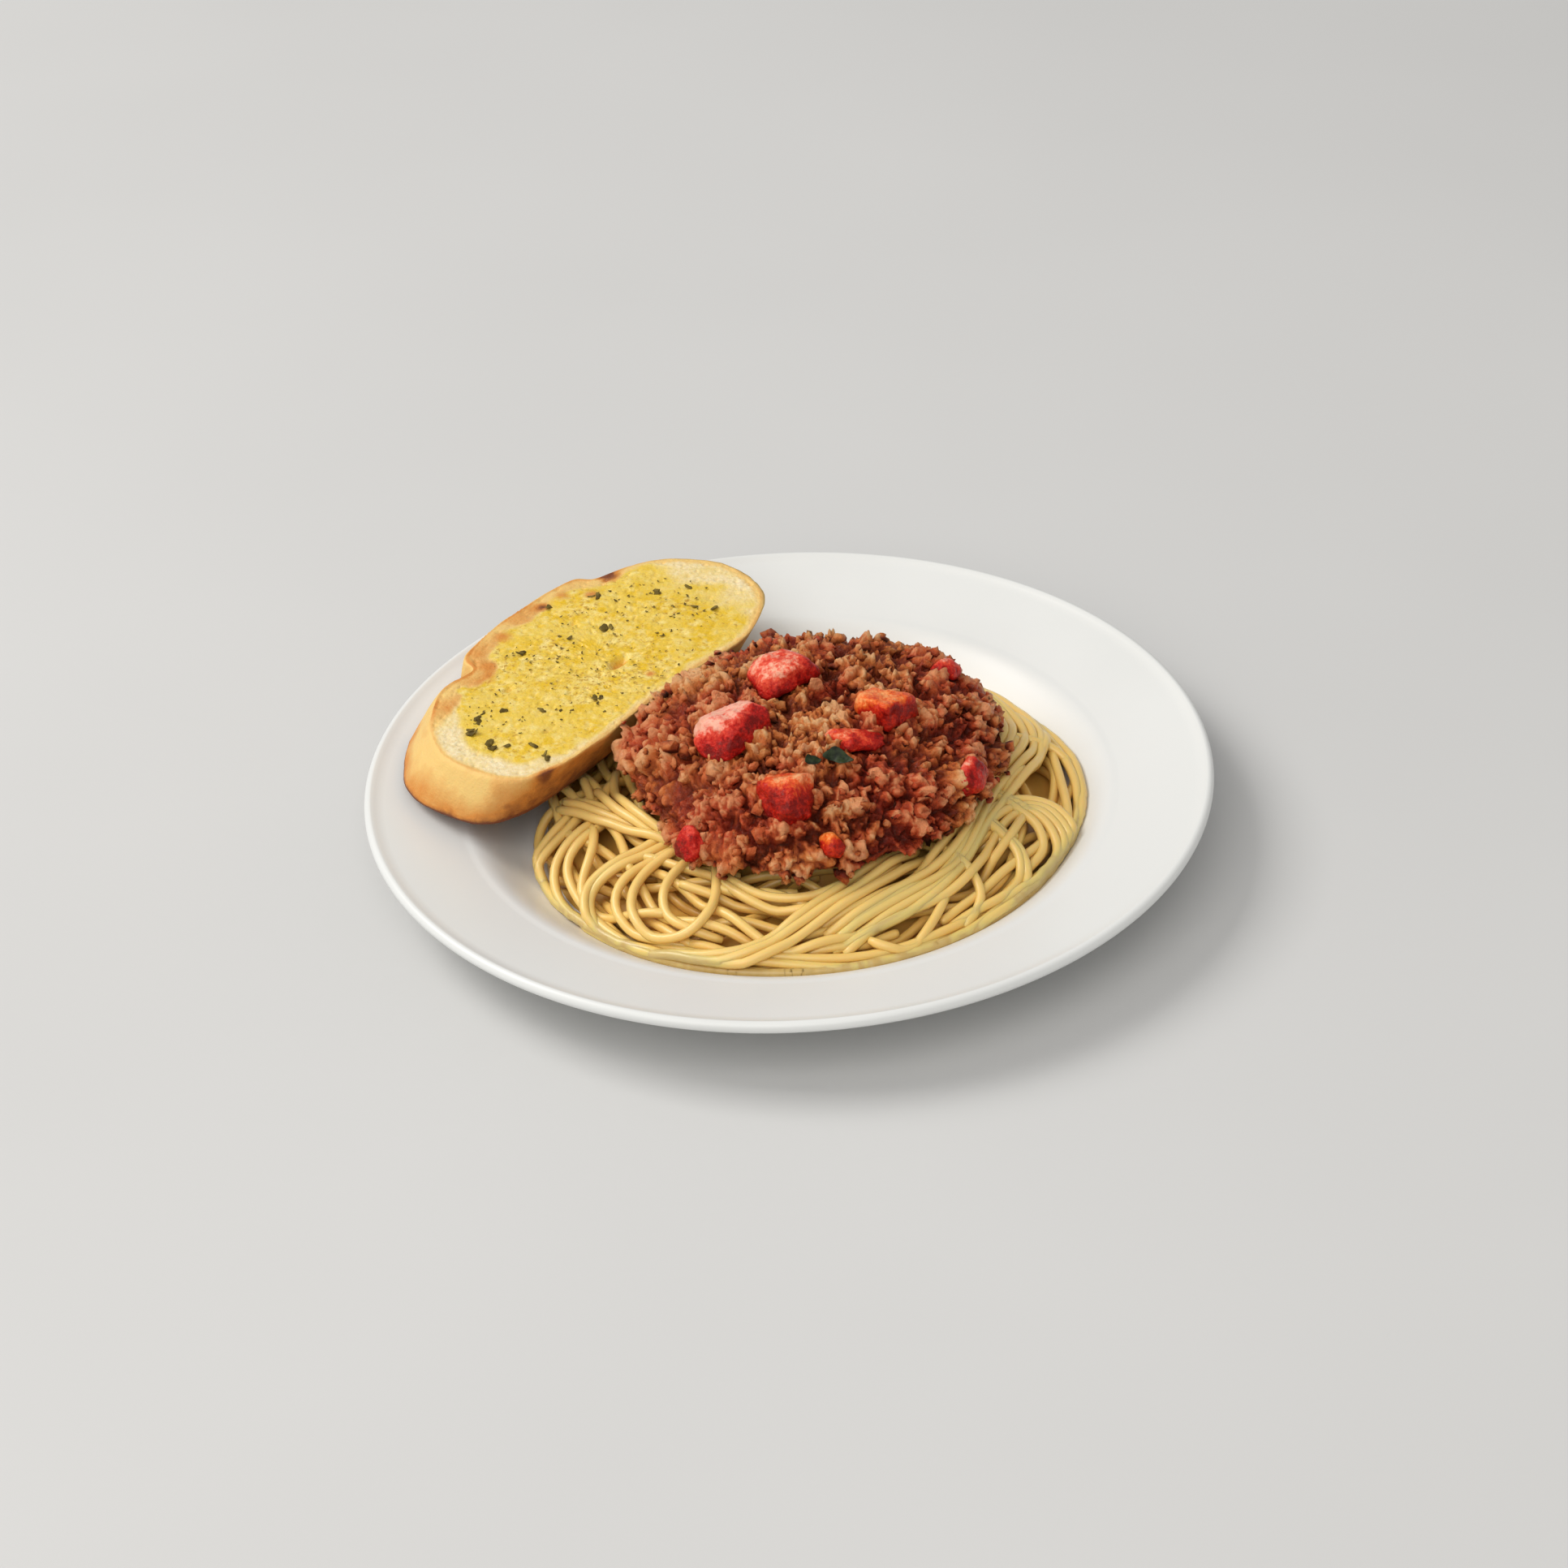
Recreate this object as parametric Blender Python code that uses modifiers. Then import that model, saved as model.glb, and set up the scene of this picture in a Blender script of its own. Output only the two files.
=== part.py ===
"""Spaghetti bolognese on a rimmed pasta plate, with a slice of garlic bread.

The plate is turned about Z and stands on its foot ring at Z = 0, with the origin at the middle of the foot.
The spaghetti is a nest that fills the well, the meat sauce is a mound on top of the nest, the tomato
pieces lie in the sauce, and the bread lies level with one long edge on the plate's rim.
Each food starts as a UV sphere whose points are moved onto that food's own form: the sphere's north
pole becomes the middle of the top, its equator the edge and its south pole the middle of the underside.
Lengths are in metres, +Z is up and -Y is the side that faces the eater.
"""

import math

import bmesh
import bpy
from mathutils import Matrix, Vector, noise
from mathutils.bvhtree import BVHTree

MM = 0.001

# Plate
PLATE_RADIUS = 125 * MM
FLOOR_RADIUS = 77 * MM
WELL_RADIUS = 97 * MM
FLOOR_HEIGHT = 5.5 * MM
RIM_INNER_HEIGHT = 16.5 * MM
RIM_SLOPE = 0.25
WALL_THICKNESS = 3.6 * MM
FOOT_OUTER_RADIUS = 69 * MM
FOOT_INNER_RADIUS = 65 * MM
FOOT_HEIGHT = 2.2 * MM
PLATE_STEPS = 56

# Spaghetti nest
NEST_RADIUS = 87 * MM
NEST_DEPTH = 19 * MM
NEST_BANDS = 5
NEST_BAND_HEIGHT = 1.6 * MM

# Meat sauce
SAUCE_CENTRE = Vector((6 * MM, -4 * MM))
SAUCE_RADIUS = 57 * MM
SAUCE_DEPTH = 24 * MM
SAUCE_LUMP = 9 * MM
SAUCE_LUMP_HEIGHT = 1.6 * MM

# Garlic bread
BREAD_CENTRE = Vector((-55.5 * MM, 41.5 * MM))
BREAD_TURN = math.radians(53)
BREAD_LEFT_REACH = 68 * MM
BREAD_RIGHT_REACH = 66 * MM
BREAD_BASE_REACH = 28.7 * MM
BREAD_DOME_REACH = 38.2 * MM
BREAD_THICKNESS = 17 * MM
BREAD_SLANT = Vector((-11 * MM, 0.0))
BREAD_UNDERCUT = 7 * MM
BREAD_REST_RADIUS = 116 * MM

# Space kept between two foods, and between a food and the plate
GAP = 0.5 * MM


def smoothstep(value):
    """0 below 0, 1 above 1, and a smooth rise between them."""
    value = min(max(value, 0.0), 1.0)
    return value * value * (3.0 - 2.0 * value)


def plate_height(radius):
    """Height of the plate's upper side: a flat floor, a curved wall and a rim that climbs gently."""
    wall = smoothstep((radius - FLOOR_RADIUS) / (WELL_RADIUS - FLOOR_RADIUS))
    rim = max(radius - WELL_RADIUS, 0.0) * RIM_SLOPE
    return FLOOR_HEIGHT + wall * (RIM_INNER_HEIGHT - FLOOR_HEIGHT) + rim


BREAD_BASE = plate_height(BREAD_REST_RADIUS) + GAP


# ---------------------------------------------------------------- outlines and heights of the foods


def waves(angle, *terms):
    """Sum of (share, turns, phase in degrees) cosine terms round an outline."""
    return sum(share * math.cos(turns * angle - math.radians(phase)) for share, turns, phase in terms)


def nest_outline(angle):
    """Radius of the nest in the direction angle: full at the right and front, less at the left and back."""
    return NEST_RADIUS * (0.957 + waves(angle, (0.055, 1, -40), (0.014, 3, 20), (0.006, 7, 0)))


def notch(along, place, width_before, width_after):
    """A dip of depth 1 in an outline, at place, with its own width on each side."""
    width = width_before if along < place else width_after
    return math.exp(-(((along - place) / width) ** 2))


def base_swell(along):
    """How far the loaf's base swells out, at a place along the slice."""
    return 3.4 * MM * notch(along, 30 * MM, 13 * MM, 14 * MM)


def room_to_bread(centre, angle):
    """Distance from centre, in the direction angle, to the bread's near upper edge."""
    lengthwise = Vector((math.cos(BREAD_TURN), math.sin(BREAD_TURN)))
    outwards = Vector((math.sin(BREAD_TURN), -math.cos(BREAD_TURN)))
    heading = Vector((math.cos(angle), math.sin(angle)))
    closing = -outwards.dot(heading)
    if closing < 0.1:
        return math.inf
    distance = (outwards.dot(centre - BREAD_CENTRE) - BREAD_BASE_REACH) / closing
    meets_at = lengthwise.dot(centre + heading * distance - BREAD_CENTRE)
    return distance - base_swell(meets_at) / closing


def ladled_outline(angle):
    """Radius that the sauce would spread to about SAUCE_CENTRE with no bread there: an uneven outline."""
    uneven = waves(angle, (0.042, 1, 20), (0.035, 2, 114), (0.018, 3, 91), (0.016, 4, -21), (0.019, 5, 113))
    return SAUCE_RADIUS * (1.0 + uneven)


def sauce_outline(angle):
    """Radius of the sauce about SAUCE_CENTRE, stopped by the bread."""
    return min(ladled_outline(angle), room_to_bread(SAUCE_CENTRE, angle) - GAP)


def polar(point, centre=Vector((0.0, 0.0))):
    """(distance, direction) of a plan point from centre."""
    offset = Vector(point[:2]) - centre
    return offset.length, math.atan2(offset.y, offset.x)


def under_bread(point):
    """How deep a plan point lies inside the bread's shadow, from 0 outside it to 1 well inside."""
    local = Matrix.Rotation(-BREAD_TURN, 2) @ (Vector(point[:2]) - BREAD_CENTRE - BREAD_SLANT / 2)
    reach = bread_outline(math.atan2(local.y, local.x)) + BREAD_SLANT.length / 2 + 4 * MM
    return smoothstep((reach - local.length) / (8 * MM))


def nest_height(point):
    """Height of the nest's upper side: a flat crown with a steep edge, and bands of strands on it."""
    radius, angle = polar(point)
    share = min(radius / nest_outline(angle), 1.0)
    crown = NEST_DEPTH * (1.0 - share**5) ** 0.6
    sauce_distance, sauce_angle = polar(point, SAUCE_CENTRE)
    bare = smoothstep((sauce_distance / sauce_outline(sauce_angle) - 1.0) / 0.1) * (1.0 - share**8)
    wander = 1.4 * math.sin(2 * angle) + 0.9 * math.sin(5 * angle + 1)
    bands = math.sin(2.0 * math.pi * NEST_BANDS * share**2 + wander)
    height = plate_height(radius) + GAP + crown + bare * bands * NEST_BAND_HEIGHT
    ceiling = BREAD_BASE - 2 * GAP
    return height + under_bread(point) * (min(height, ceiling) - height)


def nest_floor(point):
    """Height of the nest's underside, just clear of the plate."""
    return plate_height(polar(point)[0]) + GAP


def sauce_floor(point):
    """Height of the sauce's underside, clear of the nest by two gaps, as both are faceted."""
    return nest_height(point) + 2 * GAP


def sauce_height(point):
    """Height of the sauce's upper side: a dome with a steep edge, covered in lumps of mince. Where the bread
    stops it, it stands against the bread at the height that the dome has there."""
    radius, angle = polar(point, SAUCE_CENTRE)
    share = min(radius / ladled_outline(angle), 1.0)
    dome = SAUCE_DEPTH * (1.0 - share**2.8) ** 0.55
    lumps = noise.noise(Vector((point[0], point[1], 0.0)) / SAUCE_LUMP, noise_basis="PERLIN_ORIGINAL")
    return sauce_floor(point) + dome + lumps * SAUCE_LUMP_HEIGHT * (1.0 - share**6)


def bread_outline(angle):
    """Radius of the slice in its own frame, X along it: flat along the loaf's base at -Y, domed along the
    loaf's top at +Y, square at the left end of the base, swollen and cut slantwise at its right end, with two
    notches in the dome where the crust has split."""
    to_the_right = math.cos(angle) > 0
    sideways = abs(math.sin(angle))
    if math.sin(angle) > 0:
        half_width = BREAD_DOME_REACH
        reach = BREAD_RIGHT_REACH if to_the_right else BREAD_LEFT_REACH
        power = 2.6 if to_the_right else 1.8
    elif to_the_right:
        half_width = BREAD_BASE_REACH
        reach = BREAD_RIGHT_REACH - 4 * MM * smoothstep(sideways / 0.35)
        power = 4.2
    else:
        half_width = BREAD_BASE_REACH
        reach = BREAD_LEFT_REACH
        power = 5.5
    across = sideways / half_width
    along = abs(math.cos(angle)) / reach
    radius = (across**power + along**power) ** (-1.0 / power)
    if math.sin(angle) > 0:
        place = radius * math.cos(angle)
        splits = 8.0 * MM * notch(place, -30 * MM, 4.5 * MM, 4.5 * MM)
        splits += 6.2 * MM * notch(place, 41 * MM, 3 * MM, 25 * MM)
        radius -= splits * smoothstep(sideways / 0.2)
    else:
        radius *= 1.0 + base_swell(radius * math.cos(angle)) / BREAD_BASE_REACH
    return radius


# ---------------------------------------------------------------- building


def clear_scene():
    for old in list(bpy.data.objects):
        bpy.data.objects.remove(old)


def new_collection(name):
    collection = bpy.data.collections.new(name)
    bpy.context.scene.collection.children.link(collection)
    return collection


def surface(name, colour, roughness):
    """A Principled material with no metal in it."""
    material = bpy.data.materials.new(name)
    material.use_nodes = True
    shader = material.node_tree.nodes["Principled BSDF"]
    shader.inputs["Base Color"].default_value = (*colour, 1.0)
    shader.inputs["Roughness"].default_value = roughness
    shader.inputs["Metallic"].default_value = 0.0
    return material


def add_object(name, data, material, collection):
    data.materials.append(material)
    obj = bpy.data.objects.new(name, data)
    collection.objects.link(obj)
    return obj


def shaped_ball(name, spokes, rings, place, material, collection):
    """A UV sphere with each point moved to place(direction, fall): direction is the point's compass angle and
    fall runs from 0 at the top pole, through 0.5 at the equator, to 1 at the bottom pole."""
    shape = bmesh.new()
    bmesh.ops.create_uvsphere(shape, u_segments=spokes, v_segments=rings, radius=1.0)
    for vertex in shape.verts:
        direction = math.atan2(vertex.co.y, vertex.co.x)
        fall = math.acos(min(max(vertex.co.z, -1.0), 1.0)) / math.pi
        vertex.co = place(direction, fall)
    bmesh.ops.recalc_face_normals(shape, faces=shape.faces)
    mesh = bpy.data.meshes.new(name)
    shape.to_mesh(mesh)
    shape.free()
    mesh.shade_smooth()
    return add_object(name, mesh, material, collection)


def heap(name, centre, outline, top, floor, spokes, rings, material, collection):
    """A heap of food between its floor and its top, out to its outline. rings is (rings of the top, rings of
    the underside), and both are set closer towards the edge, where the heap is steep."""
    top_rings, floor_rings = rings
    all_rings = top_rings + floor_rings

    def place(direction, fall):
        ring = round(fall * all_rings)
        on_top = ring <= top_rings
        share = ring / top_rings if on_top else (all_rings - ring) / floor_rings
        reach = (1.0 - (1.0 - share) ** 1.5) * outline(direction)
        point = centre + Vector((math.cos(direction), math.sin(direction))) * reach
        return Vector((point.x, point.y, top(point) if on_top else floor(point)))

    return shaped_ball(name, spokes, all_rings, place, material, collection)


def plate_profile():
    """(radius, height) points of the plate's section, out along the upper side and back underneath."""
    rim_height = plate_height(PLATE_RADIUS)
    edge = WALL_THICKNESS / 2
    upper_radii = [0, 50, 74, 78.5, 82, 85.5, 89, 92, 95, 98.5, 110]
    upper = [(r * MM, plate_height(r * MM)) for r in upper_radii]
    rolled_edge = [
        (
            PLATE_RADIUS - edge + edge * math.sin(turn),
            rim_height - edge + edge * math.cos(turn),
        )
        for turn in (math.radians(step) for step in (-10, 30, 65, 100, 140, 180))
    ]
    under_radii = [105, 97, 91, 85, 79, 72]
    under = [(r * MM, plate_height(r * MM) - WALL_THICKNESS) for r in under_radii]
    foot = [
        (FOOT_OUTER_RADIUS, 0.0),
        (FOOT_INNER_RADIUS, 0.0),
        (FOOT_INNER_RADIUS - 1 * MM, FOOT_HEIGHT),
        (0.0, FOOT_HEIGHT),
    ]
    return upper + rolled_edge + under + foot


def build_plate(collection):
    """The plate is its section turned about Z with a Screw modifier."""
    profile = plate_profile()
    mesh = bpy.data.meshes.new("plate")
    edges = [(i, i + 1) for i in range(len(profile) - 1)]
    mesh.from_pydata([(r, 0.0, z) for r, z in profile], edges, [])
    plate = add_object("plate", mesh, surface("glazed_porcelain", (0.86, 0.86, 0.84), 0.12), collection)
    turning = plate.modifiers.new("turned", "SCREW")
    turning.steps = turning.render_steps = PLATE_STEPS
    turning.use_merge_vertices = True
    turning.merge_threshold = 0.00005
    turning.use_smooth_shade = True
    return plate


def build_spaghetti(collection):
    pasta = surface("cooked_pasta", (0.78, 0.55, 0.22), 0.35)
    middle = Vector((0.0, 0.0))
    return heap("spaghetti", middle, nest_outline, nest_height, nest_floor, 68, (17, 7), pasta, collection)


def build_sauce(collection):
    meat = surface("meat_sauce", (0.26, 0.055, 0.022), 0.35)
    return heap(
        "bolognese_sauce",
        SAUCE_CENTRE,
        sauce_outline,
        sauce_height,
        sauce_floor,
        52,
        (15, 6),
        meat,
        collection,
    )


def build_bread(collection):
    """A slanting slice: its section slides along BREAD_SLANT on the way down, and keeps its outline except at
    the left split, which opens wider below. The cut edge on top is sharp and the one below is softer. The
    object is turned so that its X runs along the slice."""
    slant = Matrix.Rotation(-BREAD_TURN, 2) @ BREAD_SLANT
    top_edge_power = 26.0
    lower_edge_power = 12.0

    def place(direction, fall):
        power = 2.0 / (top_edge_power if fall < 0.5 else lower_edge_power)
        share = math.sin(math.pi * fall) ** power
        height = math.copysign(abs(math.cos(math.pi * fall)) ** power, 0.5 - fall)
        outline = bread_outline(direction)
        depth = (1.0 - height) / 2
        opened = BREAD_UNDERCUT * notch(outline * math.cos(direction), -22 * MM, 12 * MM, 12 * MM)
        outline -= depth * opened * smoothstep(math.sin(direction) / 0.2)
        reach = share * outline
        slide = slant * depth
        return Vector(
            (
                reach * math.cos(direction) + slide.x,
                reach * math.sin(direction) + slide.y,
                height * BREAD_THICKNESS / 2,
            )
        )

    crust = surface("toasted_bread", (0.72, 0.45, 0.12), 0.7)
    bread = shaped_ball("garlic_bread", 72, 12, place, crust, collection)
    bread.location = (*BREAD_CENTRE, BREAD_BASE + BREAD_THICKNESS / 2)
    bread.rotation_euler.z = BREAD_TURN
    return bread


# name, plan place of its middle, (length, width, height), turn in degrees, all lengths in mm
TOMATOES = [
    ("tomato_back", (0.5, 5), (19, 16, 12), 20),
    ("tomato_left", (-15, -20), (22, 16, 12), 35),
    ("tomato_right", (29, -16), (18, 15, 12), -10),
    ("tomato_front", (-1, -46), (17, 14, 12), 5),
    ("tomato_far_right", (47, 15), (10, 9, 8), 0),
    ("tomato_side", (51, -27.5), (9, 13, 8), -15),
    ("tomato_strip", (18.5, -27.5), (16, 6, 4.5), 10),
    ("tomato_low_left", (-27, -48), (11, 9, 8), 40),
    ("tomato_low_front", (11, -57), (8, 7, 7), 0),
]


def build_tomato(name, plan, size, turn, sauce_surface, material, collection):
    """A diced piece of tomato: a box with soft corners that lies against the slope of the sauce, sunk a third
    of its height into it, with its underside following the sauce a gap above it."""
    half = [length * MM / 2 for length in size]
    above = Vector((plan[0] * MM, plan[1] * MM, 0.1))
    spot, slope = sauce_surface.ray_cast(above, Vector((0.0, 0.0, -1.0)))[:2]
    upright = Vector((0.0, 0.0, 1.0)).rotation_difference(slope).to_matrix().to_4x4()
    middle = Matrix.Translation(spot + slope * half[2] * 0.35)
    to_world = middle @ upright @ Matrix.Rotation(math.radians(turn), 4, "Z")
    box_power = 2.8

    def place(direction, fall):
        out = math.sin(math.pi * fall)
        unit = Vector((out * math.cos(direction), out * math.sin(direction), math.cos(math.pi * fall)))
        length = sum(abs(part) ** box_power for part in unit) ** (-1.0 / box_power)
        dent = 1.0 + 0.12 * noise.noise(unit * 1.6 + spot * 90)
        local = Vector(part * side for part, side in zip(unit, half, strict=True)) * length * dent
        world = to_world @ local
        below = sauce_surface.ray_cast(world + slope * 0.05, -slope)[0]
        if below is not None:
            world += slope * max(1.2 * GAP - (world - below).dot(slope), 0.0)
        return to_world.inverted() @ world

    piece = shaped_ball(name, 12, 7, place, material, collection)
    piece.matrix_world = to_world
    return piece


def build_tomatoes(sauce, collection):
    flesh = surface("tomato_flesh", (0.55, 0.03, 0.015), 0.2)
    sauce_surface = BVHTree.FromPolygons(
        [vertex.co for vertex in sauce.data.vertices],
        [tuple(face.vertices) for face in sauce.data.polygons],
    )
    return [build_tomato(*tomato, sauce_surface, flesh, collection) for tomato in TOMATOES]


def main():
    clear_scene()
    collection = new_collection("spaghetti_bolognese")
    build_plate(collection)
    build_spaghetti(collection)
    sauce = build_sauce(collection)
    build_bread(collection)
    build_tomatoes(sauce, collection)


main()
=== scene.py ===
"""Spaghetti bolognese on a rimmed pasta plate with a slice of garlic bread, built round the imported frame.

Lengths are in metres. +Z is up, -Y is the side that faces the eater, and the plate's foot is at Z = 0.
"""

import math

import bpy
import numpy as np
from mathutils import Matrix, Vector
from mathutils.bvhtree import BVHTree


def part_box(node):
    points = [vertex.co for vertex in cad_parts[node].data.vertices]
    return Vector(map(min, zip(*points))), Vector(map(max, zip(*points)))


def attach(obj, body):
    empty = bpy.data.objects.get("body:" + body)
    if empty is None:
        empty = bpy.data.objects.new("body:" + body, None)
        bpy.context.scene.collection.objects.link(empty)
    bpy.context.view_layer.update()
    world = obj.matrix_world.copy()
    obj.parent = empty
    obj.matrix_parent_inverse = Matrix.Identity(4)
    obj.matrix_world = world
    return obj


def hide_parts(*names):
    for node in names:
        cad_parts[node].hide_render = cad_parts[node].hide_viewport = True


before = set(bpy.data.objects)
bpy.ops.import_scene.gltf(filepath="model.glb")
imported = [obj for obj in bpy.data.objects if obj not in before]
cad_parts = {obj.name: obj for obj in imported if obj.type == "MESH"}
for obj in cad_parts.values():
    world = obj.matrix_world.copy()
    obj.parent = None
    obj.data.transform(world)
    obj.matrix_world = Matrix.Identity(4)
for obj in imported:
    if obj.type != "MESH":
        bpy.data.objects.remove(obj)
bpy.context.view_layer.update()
MM = 0.001


# ================================================================ Camera, light and table
# A long lens looks down at the plate from the eater's side. A window-like softbox stands behind to the left,
# a wide card fills from the front, and the room's pale walls give the rest. The table is a plain matt top.

VIEW_TARGET = Vector((-0.00137, 0.00283, 0.015))
VIEW_DISTANCE = 1.0987
VIEW_ELEVATION = math.radians(33.95)
VIEW_ROLL = math.radians(-2.93)

camera_data = bpy.data.cameras.new("camera")
camera_data.lens = 85
camera_data.sensor_width = 36
camera_data.clip_end = 20
camera = bpy.data.objects.new("camera", camera_data)
bpy.context.scene.collection.objects.link(camera)
backwards = Vector((0, -math.cos(VIEW_ELEVATION), math.sin(VIEW_ELEVATION)))
camera.matrix_world = (
    Matrix.Translation(VIEW_TARGET + backwards * VIEW_DISTANCE)
    @ Matrix.Rotation(math.pi / 2 - VIEW_ELEVATION, 4, "X")
    @ Matrix.Rotation(VIEW_ROLL, 4, "Z")
)
bpy.context.scene.camera = camera
bpy.context.scene.view_settings.view_transform = "Standard"


def softbox(name, place, size, power, colour):
    """A square area light at place that faces the food."""
    data = bpy.data.lights.new(name, "AREA")
    data.size = size
    data.energy = power
    data.color = colour
    light = bpy.data.objects.new(name, data)
    light.location = place
    light.rotation_euler = (Vector((0, 0, 0.02)) - Vector(place)).to_track_quat("-Z", "Y").to_euler()
    bpy.context.scene.collection.objects.link(light)


softbox("window", (-1.75, 0.50, 2.05), 1.4, 44, (1.0, 0.98, 0.95))
softbox("front_card", (-0.5, -1.8, 1.9), 2.2, 32, (1.0, 0.97, 0.93))

world = bpy.data.worlds.new("room")
world.use_nodes = True
world.node_tree.nodes["Background"].inputs["Color"].default_value = (0.99, 0.985, 0.975, 1)
world.node_tree.nodes["Background"].inputs["Strength"].default_value = 0.42
bpy.context.scene.world = world


def new_material(name, **settings):
    """A Principled material. Each setting is a socket's name, with _ for a space, and its constant value."""
    material = bpy.data.materials.new(name)
    material.use_nodes = True
    shader = material.node_tree.nodes["Principled BSDF"]
    for socket, value in settings.items():
        shader.inputs[socket.replace("_", " ")].default_value = value
    return material


def node(material, kind, values=(), **links_and_settings):
    """Adds a node. values gives constants by socket name or number; each keyword is a node setting."""
    made = material.node_tree.nodes.new(kind)
    for key, value in links_and_settings.items():
        setattr(made, key, value)
    for key, value in dict(values).items():
        made.inputs[key].default_value = value
    return made


def link(material, source, target):
    material.node_tree.links.new(source, target)


def speckle(material, scale, detail=3.0, roughness=0.5, distortion=0.0):
    """A noise pattern in the piece's own coordinates. scale counts lumps in each metre."""
    place = node(material, "ShaderNodeTexCoord")
    noise = node(
        material,
        "ShaderNodeTexNoise",
        {"Scale": scale, "Detail": detail, "Roughness": roughness, "Distortion": distortion},
    )
    link(material, place.outputs["Object"], noise.inputs["Vector"])
    return noise.outputs["Fac"]


def ramp(material, value, *stops):
    """Colours or greys set out along value. Each stop is (value, colour), and values may lie outside 0 to 1."""
    low, high = stops[0][0], stops[-1][0]
    share = node(material, "ShaderNodeMapRange", {"From Min": low, "From Max": high})
    link(material, value, share.inputs["Value"])
    made = node(material, "ShaderNodeValToRGB")
    link(material, share.outputs["Result"], made.inputs["Fac"])
    elements = made.color_ramp.elements
    while len(elements) < len(stops):
        elements.new(1.0)
    for element, (place, colour) in zip(elements, stops, strict=True):
        element.position = (place - low) / (high - low)
        element.color = (*colour, 1) if len(colour) == 3 else (colour[0],) * 3 + (1,)
    return made.outputs["Color"]


def bump(material, height, strength, distance):
    """Raises the surface by height, in steps of distance metres, on top of any bump already there."""
    made = node(material, "ShaderNodeBump", {"Strength": strength, "Distance": distance})
    shader = material.node_tree.nodes["Principled BSDF"]
    if shader.inputs["Normal"].is_linked:
        link(material, shader.inputs["Normal"].links[0].from_socket, made.inputs["Normal"])
    link(material, height, made.inputs["Height"])
    link(material, made.outputs["Normal"], shader.inputs["Normal"])


def table_finish():
    """Matt painted board: pale grey with a faint, slow change of tone."""
    material = new_material("table", Roughness=0.75)
    tone = ramp(material, speckle(material, 3.0), (0.3, (0.60, 0.60, 0.595)), (0.7, (0.63, 0.63, 0.625)))
    link(material, tone, material.node_tree.nodes["Principled BSDF"].inputs["Base Color"])
    bump(material, speckle(material, 400), 0.05, 0.0002)
    return material


table_data = bpy.data.meshes.new("table")
table_data.from_pydata([(-4, -4, 0), (4, -4, 0), (4, 4, 0), (-4, 4, 0)], [], [(0, 1, 2, 3)])
table_data.materials.append(table_finish())
table = bpy.data.objects.new("table", table_data)
bpy.context.scene.collection.objects.link(table)
table.location.z = -0.0002


# ================================================================ Plate
# One piece of slip-cast porcelain: a flat well, a soft wall and a wide rim that climbs gently, with a rolled
# edge. It is glazed white all over except for the foot ring, which is wiped bare so that it can be fired.

PLATE_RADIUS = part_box("plate")[1].x
RIM_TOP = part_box("plate")[1].z
FLOOR_RADIUS = 77 * MM
WELL_RADIUS = 97 * MM
RIM_SLOPE = 0.25
PLATE_THICKNESS = 3.6 * MM
FOOT_RADII = (65 * MM, 69 * MM)
RIM_INNER_HEIGHT = RIM_TOP - (PLATE_RADIUS - WELL_RADIUS) * RIM_SLOPE
FLOOR_HEIGHT = RIM_INNER_HEIGHT - 11 * MM


def smoothstep(value):
    """0 below 0, 1 above 1, and a smooth rise between them."""
    value = np.clip(value, 0, 1)
    return value * value * (3 - 2 * value)


def plate_height(radius):
    """Height of the plate's upper side: flat floor, smoothstep wall, then a rim of constant slope."""
    wall = smoothstep((radius - FLOOR_RADIUS) / (WELL_RADIUS - FLOOR_RADIUS))
    rim = np.maximum(radius - WELL_RADIUS, 0) * RIM_SLOPE
    return FLOOR_HEIGHT + wall * (RIM_INNER_HEIGHT - FLOOR_HEIGHT) + rim


def stacked_rings(rings, start, end):
    """Vertices, quads and triangles of closed bodies. rings is [body, ring, corner, xyz], each ring runs
    anticlockwise seen from start's side, and start and end close a body with one point each."""
    bodies, count, corners = rings.shape[:3]
    size = count * corners + 2
    verts = np.concatenate([rings.reshape(bodies, -1, 3), start[:, None], end[:, None]], axis=1)
    ring, corner = np.meshgrid(np.arange(count - 1), np.arange(corners), indexing="ij")
    after = (corner + 1) % corners
    low, high = ring * corners, (ring + 1) * corners
    quads = np.stack([low + corner, high + corner, high + after, low + after], axis=-1).reshape(-1, 4)
    edge = np.arange(corners)
    next_edge = (edge + 1) % corners
    last = (count - 1) * corners
    first_fan = np.stack([np.full(corners, size - 2), edge, next_edge], axis=-1)
    last_fan = np.stack([np.full(corners, size - 1), last + next_edge, last + edge], axis=-1)
    offsets = np.arange(bodies)[:, None, None] * size
    quads = (quads[None] + offsets).reshape(-1, 4)
    fans = (np.concatenate([first_fan, last_fan])[None] + offsets).reshape(-1, 3)
    return verts.reshape(-1, 3), quads, fans


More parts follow.
